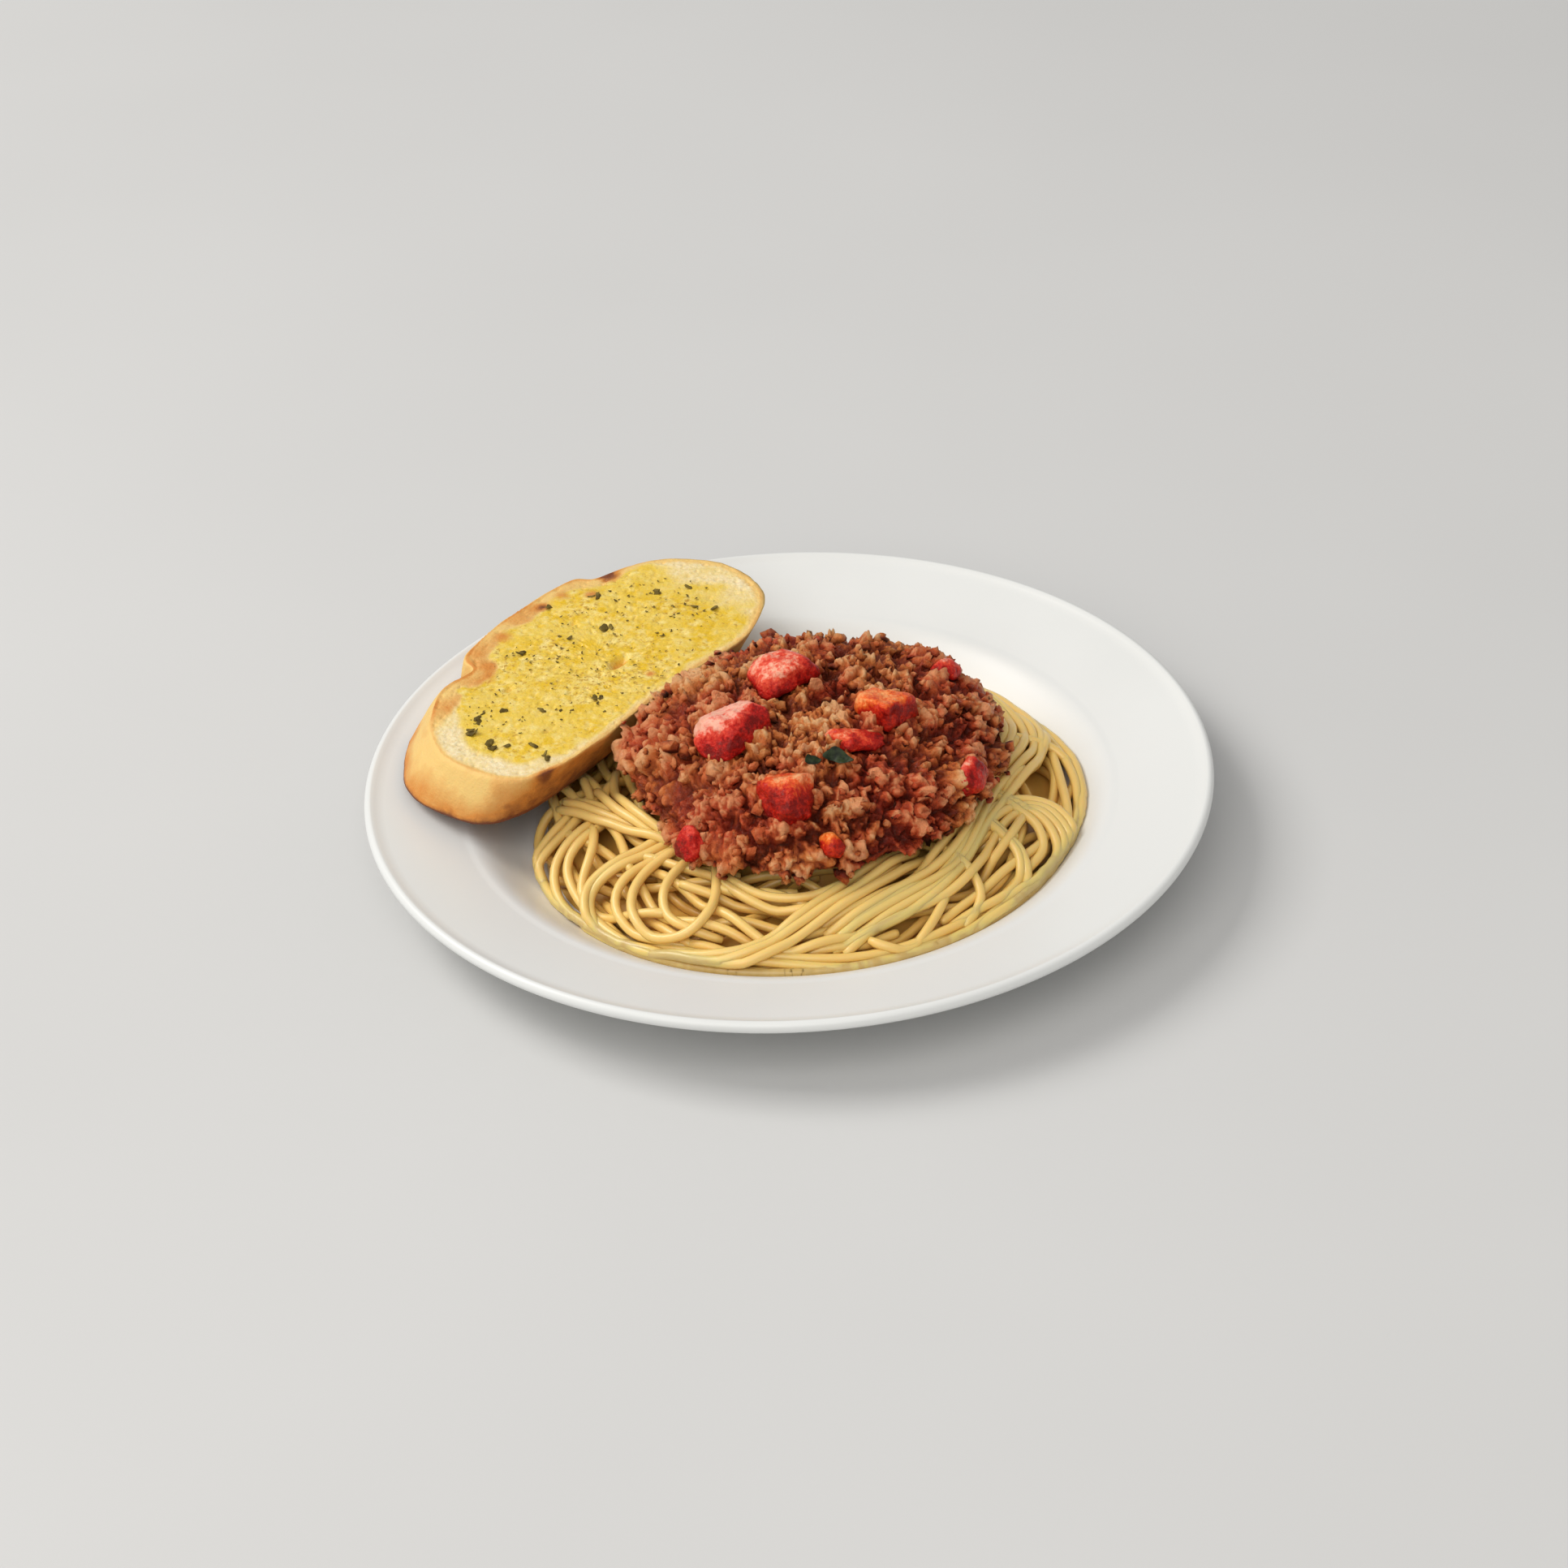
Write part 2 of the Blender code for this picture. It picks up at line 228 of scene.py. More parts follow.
def new_piece(name, verts, quads, fans, material, body="root", slot=None, stands_for=()):
    """A smooth-shaded mesh object at the origin that rides on a body and stands for CAD nodes."""
    mesh = bpy.data.meshes.new(name)
    corners = np.concatenate([quads.ravel(), fans.ravel()]).astype(np.int32)
    sizes = np.concatenate([np.full(len(quads), 4), np.full(len(fans), 3)])
    mesh.vertices.add(len(verts))
    mesh.vertices.foreach_set("co", verts.astype(np.float32).ravel())
    mesh.loops.add(len(corners))
    mesh.loops.foreach_set("vertex_index", corners)
    mesh.polygons.add(len(sizes))
    mesh.polygons.foreach_set("loop_start", (np.cumsum(sizes) - sizes).astype(np.int32))
    mesh.update(calc_edges=True)
    mesh.validate()
    mesh.shade_smooth()
    mesh.materials.append(material)
    piece = bpy.data.objects.new(name, mesh)
    bpy.context.scene.collection.objects.link(piece)
    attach(piece, body)
    for stood in stands_for:
        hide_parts(stood)
    return piece


def paint(piece, name, values):
    """Stores one number for each vertex, for the piece's material to read."""
    layer = piece.data.attributes.new(name, "FLOAT", "POINT")
    layer.data.foreach_set("value", np.asarray(values, np.float32).ravel())


def painted(material, name):
    """The value of a painted attribute, in a material."""
    return node(material, "ShaderNodeAttribute", attribute_name=name).outputs["Fac"]


def plate_profile():
    """Radii and heights of the section, out along the top, round the rolled edge and back underneath."""
    top = np.concatenate([np.linspace(4, 74, 12), np.linspace(76, 100, 25), np.linspace(102, 122, 8)]) * MM
    edge = PLATE_THICKNESS / 2
    turn = np.radians(np.linspace(-8, 188, 13))
    roll = np.stack([PLATE_RADIUS - edge + edge * np.sin(turn), RIM_TOP - edge + edge * np.cos(turn)])
    under = np.concatenate([np.linspace(121, 101, 8), np.linspace(99, 73, 22)]) * MM
    outer, inner = FOOT_RADII[1], FOOT_RADII[0]
    foot_radius = np.array([outer + 1.6 * MM, outer + 0.4 * MM, outer, outer - 0.7 * MM, inner + 0.7 * MM])
    foot_height = np.array([1.7, 0.9, 0.35, 0.0, 0.0]) * MM
    recess_radius = np.array([inner, inner - 0.5 * MM, inner - 1.5 * MM, 60 * MM, 30 * MM, 4 * MM])
    recess_height = np.array([0.4, 1.5, 2.1, 2.2, 2.2, 2.2]) * MM
    radius = np.concatenate([top, roll[0], under, foot_radius, recess_radius])
    height = np.concatenate(
        [plate_height(top), roll[1], plate_height(under) - PLATE_THICKNESS, foot_height, recess_height]
    )
    return radius, height


def glazed_porcelain():
    """White glaze whose tone changes slowly at random, over bare biscuit at the foot. A slow ripple bends its
    reflections as brushed-on glaze does."""
    material = new_material("glazed_porcelain", IOR=1.5)
    shader = material.node_tree.nodes["Principled BSDF"]
    place = node(material, "ShaderNodeTexCoord")
    height = node(material, "ShaderNodeSeparateXYZ")
    link(material, place.outputs["Object"], height.inputs["Vector"])
    bare = node(material, "ShaderNodeMapRange", {"From Min": 0.0004, "From Max": 0.0001})
    link(material, height.outputs["Z"], bare.inputs["Value"])
    glaze = ramp(material, speckle(material, 14, 4), (0.35, (0.745, 0.755, 0.740)), (0.65, (0.775, 0.785, 0.770)))
    colour = node(material, "ShaderNodeMix", {"B": (0.66, 0.62, 0.55, 1)}, data_type="RGBA")
    link(material, bare.outputs["Result"], colour.inputs["Factor"])
    link(material, glaze, colour.inputs[6])
    link(material, colour.outputs[2], shader.inputs["Base Color"])
    gloss = node(material, "ShaderNodeMapRange", {"To Min": 0.36, "To Max": 0.7})
    link(material, bare.outputs["Result"], gloss.inputs["Value"])
    link(material, gloss.outputs["Result"], shader.inputs["Roughness"])
    bump(material, speckle(material, 22, 1), 0.18, 0.001)
    bump(material, speckle(material, 900, 2), 0.03, 0.0002)
    return material


ring_radius, ring_height = plate_profile()
turn = np.linspace(0, 2 * np.pi, 240, endpoint=False)
plate_rings = np.stack(
    [
        ring_radius[:, None] * np.cos(turn),
        ring_radius[:, None] * np.sin(turn),
        np.broadcast_to(ring_height[:, None], (len(ring_height), len(turn))),
    ],
    axis=-1,
)[None]
plate = new_piece(
    "plate_glazed",
    *stacked_rings(plate_rings, np.array([[0, 0, ring_height[0]]]), np.array([[0, 0, ring_height[-1]]])),
    glazed_porcelain(),
    slot="plate",
    stands_for=["plate"],
)

# ================================================================ Spaghetti
# About a hundred and fifty boiled strands of 2.8 mm, lifted with tongs and turned into a nest on the plate.
# Each strand is laid in turn on those already there, so it sags between them and climbs over them. What the
# strands hide is one plain core. The strands are painted darker and browner the deeper they lie, and the core
# darkest of all: painted shade between the strands.

STRAND_RADIUS = 1.45 * MM
GRID = 0.5 * MM
GRID_REACH = 200
ticks = np.arange(-GRID_REACH, GRID_REACH + 1) * GRID
grid_x, grid_y = np.meshgrid(ticks, ticks, indexing="ij")


def relief(name, way=-1):
    """Heights of a CAD node over the grid: of its upper side, or of its underside where way is 1. nan beside it."""
    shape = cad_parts[name].data
    tree = BVHTree.FromPolygons([v.co for v in shape.vertices], [p.vertices for p in shape.polygons])
    low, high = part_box(name)
    found = np.full(grid_x.shape, np.nan)
    for i in np.flatnonzero((ticks >= low.x) & (ticks <= high.x)):
        for j in np.flatnonzero((ticks >= low.y) & (ticks <= high.y)):
            hit = tree.ray_cast(Vector((ticks[i] + 3e-6, ticks[j] + 7e-6, -way)), Vector((0, 0, way)))[0]
            if hit:
                found[i, j] = hit.z
    return found


def sample(grid, x, y):
    """Values of a grid at any places, blended between its four nearest points."""
    across = np.clip(np.asarray(x) / GRID + GRID_REACH, 0, 2 * GRID_REACH - 0.001)
    along = np.clip(np.asarray(y) / GRID + GRID_REACH, 0, 2 * GRID_REACH - 0.001)
    i, j = across.astype(int), along.astype(int)
    a, b = across - i, along - j
    near = grid[i, j] * (1 - b) + grid[i, j + 1] * b
    far = grid[i + 1, j] * (1 - b) + grid[i + 1, j + 1] * b
    return near * (1 - a) + far * a


def outline_of(heights, centre):
    """Radius of a node's outline round centre, as a function of the angle."""
    angles = np.linspace(-np.pi, np.pi, 361)
    radii = np.arange(0, 100, 0.25) * MM
    x = centre[0] + np.outer(np.cos(angles), radii)
    y = centre[1] + np.outer(np.sin(angles), radii)
    inside = ~np.isnan(sample(heights, x, y))
    edge = radii[len(radii) - 1 - np.argmax(inside[:, ::-1], axis=1)]

    def radius(angle):
        return np.interp(np.mod(np.asarray(angle) + np.pi, 2 * np.pi) - np.pi, angles, edge)

    return radius


plate_top = plate_height(np.hypot(grid_x, grid_y))
nest_relief = relief("spaghetti")
sauce_relief = relief("bolognese_sauce")
nest_radius = outline_of(nest_relief, (0, 0))
SAUCE_CENTRE = (6 * MM, -4 * MM)
sauce_radius = outline_of(sauce_relief, SAUCE_CENTRE)
nest_top = np.where(np.isnan(nest_relief), plate_top, nest_relief)

sauce_share = np.hypot(grid_x - SAUCE_CENTRE[0], grid_y - SAUCE_CENTRE[1]) / sauce_radius(
    np.arctan2(grid_y - SAUCE_CENTRE[1], grid_x - SAUCE_CENTRE[0])
)
core_drop = (1.5 + 9.0 * smoothstep((sauce_share - 0.62) / 0.25)) * MM
core_top = np.maximum(nest_top - core_drop, plate_top + 0.3 * MM)
pile = core_top.copy()

reach = np.arange(-3, 4)
near_x, near_y = [side.ravel() for side in np.meshgrid(reach, reach)]


def rest_heights(path):
    """Lowest centre heights of a strand along path, [..., xy], at which it touches the pile from above."""
    i = np.rint(path[..., 0] / GRID).astype(int)[..., None] + near_x
    j = np.rint(path[..., 1] / GRID).astype(int)[..., None] + near_y
    aside = (i * GRID - path[..., :1]) ** 2 + (j * GRID - path[..., 1:]) ** 2
    lift = np.sqrt(np.maximum(STRAND_RADIUS**2 - aside, 0))
    touch = np.where(lift > 0, pile[i + GRID_REACH, j + GRID_REACH] + lift, -1)
    return touch.max(axis=-1)


def lay(path, step, most, tuck=0.0):
    """Lays one strand on the pile and returns its centre line. The strand presses in a little, bends no tighter
    than its stiffness allows, and raises the pile. It sinks in where its top would come above the heights most,
    and its ends dip by tuck between the strands below."""
    from_end = np.minimum(np.arange(len(path)), np.arange(len(path))[::-1]) * step
    heights = np.minimum(rest_heights(path) - 0.35 * MM, sample(most, *path.T) - STRAND_RADIUS)
    heights = heights - tuck * smoothstep(1 - from_end / (14 * MM))
    offsets = np.arange(-18, 19)
    windows = np.lib.stride_tricks.sliding_window_view(np.pad(heights, 18, mode="edge"), 37)
    bridged = (windows - (offsets * step) ** 2 / (2 * 16 * MM)).max(axis=1)
    weights = np.exp(-((offsets * step / (3.2 * MM)) ** 2))
    windows = np.lib.stride_tricks.sliding_window_view(np.pad(bridged, 18, mode="edge"), 37)
    smooth = np.maximum(windows @ (weights / weights.sum()), sample(plate_top, *path.T) + 0.95 * STRAND_RADIUS)
    i = np.rint(path[:, :1] / GRID).astype(int) + near_x
    j = np.rint(path[:, 1:] / GRID).astype(int) + near_y
    aside = (i * GRID - path[:, :1]) ** 2 + (j * GRID - path[:, 1:]) ** 2
    lift = np.sqrt(np.maximum(STRAND_RADIUS**2 - aside, 0))
    raised = np.where(lift > 0, smooth[:, None] + lift, -1)
    np.maximum.at(pile, (i + GRID_REACH, j + GRID_REACH), raised)
    return np.column_stack([path, smooth])


def loose_paths(count, length, step, seed):
    """Plan paths of loose strands. Each walks on with a bend that changes slowly at random, leans towards the way
    round the nest, and turns back from the nest's edge and from the middle, which the sauce hides."""
    rng = np.random.default_rng(seed)
    angle = rng.uniform(-np.pi, np.pi, count)
    place = (rng.uniform(0.62, 0.96, count) * nest_radius(angle) * np.array([np.cos(angle), np.sin(angle)])).T
    hand = rng.choice([-1.0, 1.0], count)
    heading = angle + hand * np.pi / 2 + rng.normal(0, 0.6, count)
    bend = rng.normal(0, 25, count)
    walked = []
    for _ in range(int(length / step)):
        angle = np.arctan2(place[:, 1], place[:, 0])
        share = np.hypot(*place.T) / nest_radius(angle)
        outer = smoothstep((share - 0.86) / 0.12)
        inner = smoothstep((0.66 - share) / 0.12)
        wanted = angle + hand * (np.pi / 2 + 0.5 * outer - 0.7 * inner)
        error = np.mod(wanted - heading + np.pi, 2 * np.pi) - np.pi
        bend += -0.05 * bend + rng.normal(0, 9, count)
        turn = bend * step + error * (0.02 + 0.25 * outer + 0.12 * inner)
        heading = heading + np.clip(turn, -step / (10 * MM), step / (10 * MM))
        place = place + step * np.array([np.cos(heading), np.sin(heading)]).T
        limit = 0.975 * nest_radius(np.arctan2(place[:, 1], place[:, 0])) / np.hypot(*place.T)
        place = place * np.minimum(limit, 1)[:, None]
        walked.append(place)
    return np.stack(walked, axis=1)


def fill_nest(paths, step, goal, most):
    """Lays up to most of the paths. Each time it takes, of a few that it tries, the one that lies furthest below
    the goal height, and it leaves out those that would stand above it."""
    laid = []
    order = list(range(len(paths)))
    while order and len(laid) < most:
        tried = [order.pop() for _ in range(min(10, len(order)))]
        room = sample(goal, paths[tried, :, 0], paths[tried, :, 1]) - rest_heights(paths[tried]) - STRAND_RADIUS
        fit = np.where((room < -0.5 * MM).mean(axis=1) < 0.06, np.clip(room, -2 * MM, 6 * MM).mean(axis=1), -1)
        best = int(np.argmax(fit))
        if fit[best] < 0.2 * MM:
            continue
        laid.append(lay(paths[tried[best]], step, goal + 0.8 * MM))
        order = [index for place, index in enumerate(tried) if place != best and fit[place] > 0] + order
    return laid


def smooth_path(points, step):
    """A smooth curve that runs near given points in mm (a uniform cubic B-spline), with a point at every step."""
    knots = np.array([points[0], points[0], *points, points[-1], points[-1]], float) * MM
    t = np.linspace(0, 1, 24, endpoint=False)[:, None]
    shares = ((1 - t) ** 3 / 6, (3 * t**3 - 6 * t**2 + 4) / 6, (-3 * t**3 + 3 * t**2 + 3 * t + 1) / 6, t**3 / 6)
    runs = [sum(share * knots[k + n] for n, share in enumerate(shares)) for k in range(len(knots) - 3)]
    curve = np.concatenate([*runs, knots[-1:]])
    travel = np.concatenate([[0], np.cumsum(np.hypot(*np.diff(curve, axis=0).T))])
    wanted = np.arange(0, travel[-1], step)
    return np.column_stack([np.interp(wanted, travel, curve[:, 0]), np.interp(wanted, travel, curve[:, 1])])


def side_by_side(points, count, step, seed, spread=2.75):
    """Plan paths of a bundle of count strands that run side by side along given points, not quite evenly."""
    rng = np.random.default_rng(seed)
    middle = smooth_path(points, step)
    along = np.gradient(middle, axis=0)
    aside = np.column_stack([-along[:, 1], along[:, 0]]) / np.hypot(*along.T)[:, None]
    travel = np.arange(len(middle)) * step
    paths = []
    for index in range(count):
        wave = np.sin(travel / (rng.uniform(9, 16) * MM) + rng.uniform(0, 6.28)) * rng.uniform(0.3, 1.0) * MM
        path = middle + aside * ((index - (count - 1) / 2) * spread * MM + wave)[:, None]
        edge = 0.985 * nest_radius(np.arctan2(path[:, 1], path[:, 0])) / np.hypot(*path.T)
        paths.append(path * np.minimum(edge, 1)[:, None])
    return [paths[index] for index in rng.permutation(count)]


def strand_tubes(lines, sides=8):
    """Vertices and faces of round strands along their centre lines, [strand][point, xyz], with rounded ends."""
    turn = np.linspace(0, 2 * np.pi, sides, endpoint=False)
    parts, count = [], 0
    for line in lines:
        along = np.gradient(line, axis=0)
        along /= np.linalg.norm(along, axis=1)[:, None]
        aside = np.cross(along, (0, 0, 1))
        aside /= np.linalg.norm(aside, axis=1)[:, None]
        above = np.cross(aside, along)
        radius = np.full(len(line), STRAND_RADIUS)
        radius[[0, -1]] *= 0.8
        ring = aside[:, None] * np.cos(turn)[:, None] + above[:, None] * np.sin(turn)[:, None]
        rings = line[:, None] + ring * radius[:, None, None]
        verts, quads, fans = stacked_rings(rings[None], line[:1] - along[:1] * 0.4 * MM, line[-1:] + along[-1:] * 0.4 * MM)
        parts.append((verts, quads + count, fans + count))
        count += len(verts)
    return [np.concatenate(rows) for rows in zip(*parts, strict=True)]


STRAND_STEP = 1.0 * MM
BUNDLES = (
    (4, ((-58, -48), (-53, -62), (-40, -75), (-22, -84), (-2, -87), (18, -86), (38, -80), (55, -70), (68, -56), (78, -40))),
    (2, ((-38, -70), (-20, -79), (2, -83), (24, -81), (42, -74), (56, -63), (66, -48))),
    (3, ((30, 74), (52, 66), (66, 54), (77, 36), (83, 12), (85, -10), (82, -32), (74, -47), (62, -61))),
    (2, ((-52, 6), (-62, -12), (-70, -21), (-77, -28), (-74, -40), (-66, -52), (-54, -66), (-42, -74))),
    (2, ((-48, -10), (-60, -25), (-68, -32), (-66, -42), (-61, -52), (-52, -64), (-40, -73))),
    (2, ((-24, -24), (-38, -34), (-52, -41), (-60, -47), (-59, -57), (-52, -66), (-42, -73), (-30, -78))),
    (1, ((-20, -30), (-36, -39), (-47, -46), (-52, -54), (-48, -63), (-40, -70), (-26, -74))),
    (2, ((40, -16), (54, -26), (62, -35), (67, -45), (64, -56), (56, -64), (44, -70))),
    (1, ((36, -36), (46, -45), (52, -54), (53, -62), (47, -69))),
    (2, ((52, -8), (62, -18), (72, -26), (76, -36), (70, -46), (60, -56))),
    (3, ((12, -78), (20, -72), (29, -66), (38, -61), (46, -54), (51, -44), (55, -34), (60, -25), (67, -19), (76, -21), (82, -31), (78, -43), (68, -56), (56, -66))),
    (4, ((40, 68), (52, 60), (62, 50), (69, 36), (73, 20), (70, 4), (63, -9), (57, -22), (50, -37), (44, -50), (34, -61), (22, -68), (8, -75))),
    (1, ((-18, -28), (-32, -38), (-43, -46), (-47, -56), (-45, -65), (-38, -71), (-30, -73), (-23, -67), (-21, -56), (-22, -44), (-18, -32))),
    (1, ((-14, -34), (-28, -43), (-36, -50), (-39, -59), (-36, -67), (-29, -71), (-20, -72))),
    (2, ((-24, -46), (-16, -60), (-4, -66), (8, -65), (20, -58), (30, -46))),
    (3, ((-44, -74), (-30, -82), (-14, -83), (0, -75), (11, -66), (23, -56), (36, -42))),
    (3, ((-66, -6), (-61, -12.5), (-55, -18), (-48, -23), (-40, -28.5), (-28, -36))),
    (1, ((-57, -4), (-55, -13), (-51, -20), (-45, -26), (-36, -33))),
    (1, ((-50.5, 8), (-51.5, -3), (-50, -13), (-46.5, -22), (-41, -29), (-33, -35))),
)
RAISED = 5
bundle_paths = [
    path
    for seed, (count, points) in enumerate(BUNDLES)
    for path in side_by_side(points, count, STRAND_STEP, seed)
]
layers = np.zeros(pile.shape)
for path in bundle_paths:
    i, j = np.rint(path.T / GRID).astype(int) + GRID_REACH
    passed = np.zeros(pile.shape)
    passed[i, j] = 1
    layers += passed
blur = np.exp(-((np.arange(-12, 13) / 6) ** 2))
blur /= blur.sum()
for axis in (0, 1):
    layers = np.apply_along_axis(np.convolve, axis, layers, blur, "same")
layers *= 2 * STRAND_RADIUS / GRID
lower_goal = nest_top - layers * 1.5 * MM

lower_strands = fill_nest(loose_paths(2000, 0.23, STRAND_STEP, 3), STRAND_STEP, lower_goal, 76)
short_strands = fill_nest(loose_paths(3000, 0.09, STRAND_STEP, 4), STRAND_STEP, lower_goal, 130)
short_strands += fill_nest(loose_paths(3000, 0.05, STRAND_STEP, 5), STRAND_STEP, lower_goal, 120)
upper_strands = []
for index, path in enumerate(bundle_paths):
    level = -2.6 + 4.0 * index / len(bundle_paths)
    if index >= len(bundle_paths) - RAISED:
        level += 4.0
    upper_strands.append(lay(path, STRAND_STEP, nest_top + level * MM, 4 * MM))


def boiled_pasta():
    """Boiled durum pasta: smooth, moist and a little see-through, so light turns golden where strands are close.
    Its colour is also painted darker and browner with depth under the nest's surface: painted shade between strands.
    """
    material = new_material(
        "boiled_pasta",
        Roughness=0.38,
        Subsurface_Weight=0.35,
        Subsurface_Radius=(0.003, 0.0016, 0.0006),
        Subsurface_Scale=0.8,
        Coat_Weight=0.25,
        Coat_Roughness=0.22,
    )
    shader = material.node_tree.nodes["Principled BSDF"]
    # Painted shade: the deeper a point lies under the nest's surface, the darker and browner its colour.
    tone = ramp(
        material,
        painted(material, "depth"),
        (0.0, (0.84, 0.572, 0.176)),
        (0.5, (0.79, 0.505, 0.132)),
        (1.0, (0.66, 0.370, 0.076)),
    )
    link(material, tone, shader.inputs["Base Color"])
    bump(material, speckle(material, 900, 3), 0.15, 0.0003)
    return material


pasta_material = boiled_pasta()


def strand_piece(name, lines, stands_for=()):
    """One piece of many strands, with each point's depth under the nest's surface painted on it for the material's
    painted shade.
    """
    thinned = [np.concatenate([line[:-1:2], line[-1:]]) for line in lines]
    verts, quads, fans = strand_tubes(thinned)
    piece = new_piece(name, verts, quads, fans, pasta_material, slot="pasta", stands_for=stands_for)
    # Depth under the nest's surface, which the material turns into painted shade.
    depth = sample(nest_top, verts[:, 0], verts[:, 1]) - verts[:, 2]
    paint(piece, "depth", np.clip(depth / (9 * MM), 0, 1))
    return piece


strand_piece("spaghetti_lower", lower_strands, ["spaghetti"])
strand_piece("spaghetti_short", short_strands, ["spaghetti"])
strand_piece("spaghetti_upper", upper_strands, ["spaghetti"])

turn = np.linspace(0, 2 * np.pi, 120, endpoint=False)
shares = np.linspace(0.03, 0.93, 36)
core_x = np.outer(shares, nest_radius(turn) * np.cos(turn))
core_y = np.outer(shares, nest_radius(turn) * np.sin(turn))
core_rings = np.stack([core_x, core_y, sample(core_top, core_x, core_y)], axis=-1)
core_floor = np.stack([core_x, core_y, sample(plate_top, core_x, core_y) + 0.1 * MM], axis=-1)[::-7]
core = new_piece(
    "spaghetti_core",
    *stacked_rings(
        np.concatenate([core_rings, core_floor])[None],
        np.array([[0, 0, core_rings[0, :, 2].mean()]]),
        np.array([[0, 0, core_floor[-1, :, 2].mean()]]),
    ),
    pasta_material,
    slot="pasta",
    stands_for=["spaghetti"],
)
# The hidden core gets the deepest value: the darkest painted shade.
paint(core, "depth", np.ones(len(core.data.vertices)))

# ================================================================ Bolognese sauce
# Minced beef browned in crumbs of a few millimetres and simmered in tomato until the sauce only coats it. It is
# ladled on to the nest in one mound, and part of it leans on the bread. The mound is one core whose relief runs
# from lobes of 14 mm down to granules of 1.6 mm, and loose crumbs lie half sunk in it.

MOUND_FOCUS = np.array([*SAUCE_CENTRE, 27.5 * MM])
BREAD_TURN = math.radians(53)
bread_low, bread_high = (np.array(side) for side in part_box("garlic_bread"))
bread_middle = np.array([-55.5 * MM, 41.5 * MM, (bread_low[2] + bread_high[2]) / 2])
bread_x = np.array([math.cos(BREAD_TURN), math.sin(BREAD_TURN), 0])
bread_y = np.array([-math.sin(BREAD_TURN), math.cos(BREAD_TURN), 0])
BREAD_EDGE = 28.7
TOMATOES = [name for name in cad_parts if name.startswith("tomato")]


def leave_points(name, origins, ways):
    """Points, [..., xyz], where rays from inside a CAD node leave it."""
    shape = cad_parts[name].data
    tree = BVHTree.FromPolygons([v.co for v in shape.vertices], [p.vertices for p in shape.polygons])
    starts, ends = np.broadcast_arrays(origins, ways)
    found = np.empty(ends.shape).reshape(-1, 3)
    for index, (start, way) in enumerate(zip(starts.reshape(-1, 3), ends.reshape(-1, 3), strict=True)):
        hit = tree.ray_cast(Vector(start), Vector(way))[0] or tree.ray_cast(Vector(start + 1e-5), Vector(way))[0]
        found[index] = hit or found[index - 1]
    return found.reshape(ends.shape)


def scattered(cells, seed):
    """Three numbers from 0 to 1 for each cube of a lattice. cells is [..., xyz] in whole numbers."""
    mixed = cells @ np.array([[127.1, 269.5, 113.5], [311.7, 183.3, 271.9], [74.7, 246.1, 124.6]])
    return np.mod(np.sin(mixed + seed) * 43758.5453, 1)


def soft_noise(points, size, seed=0.0):
    """Smooth noise from -1 to 1: one random value at each corner of a lattice of cubes, blended in between."""
    place = points / size
    base = np.floor(place)
    blend = smoothstep(place - base)
    total = 0
    for corner in np.ndindex(2, 2, 2):
        share = np.prod(np.where(corner, blend, 1 - blend), axis=-1)
        total = total + share * scattered(base + corner, seed)[..., 0]
    return 2 * total - 1


def crumb_cells(points, size, seed=0.0):
    """Distances to the nearest and second nearest of seeds strewn one to each cube of a lattice, in cube sizes,
    and the nearest seed's random value."""
    place = points / size
    base = np.floor(place)
    nearest = np.full(place.shape[:-1], 9.0)
    second = nearest.copy()
    value = np.zeros(place.shape[:-1])
    for corner in np.ndindex(3, 3, 3):
        cell = base + np.array(corner) - 1
        random = scattered(cell, seed)
        distance = np.linalg.norm(place - cell - random, axis=-1)
        value = np.where(distance < nearest, random[..., 1], value)
        second = np.minimum(second, np.maximum(distance, nearest))
        nearest = np.minimum(nearest, distance)
    return nearest, second, value


def granules(points, size, seed, softness):
    """Packed rounded cells: 0 in the creases between them and 1 on them, with each cell's random value."""
    nearest, second, value = crumb_cells(points, size, seed)
    return smoothstep((second - nearest) / softness) * (1 - 0.35 * nearest), value


def near_nodes(points, names):
    """Distance in millimetres from the nearest of the ellipsoids that fill the nodes' boxes, below 0 inside."""
    gap = np.full(points.shape[:-1], 99.0)
    for name in names:
        low, high = (np.array(side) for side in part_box(name))
        half = (high - low) / 2
        share = np.linalg.norm((points - (low + high) / 2) / half, axis=-1)
        gap = np.minimum(gap, (share - 1) * half.min() / MM)
    return gap


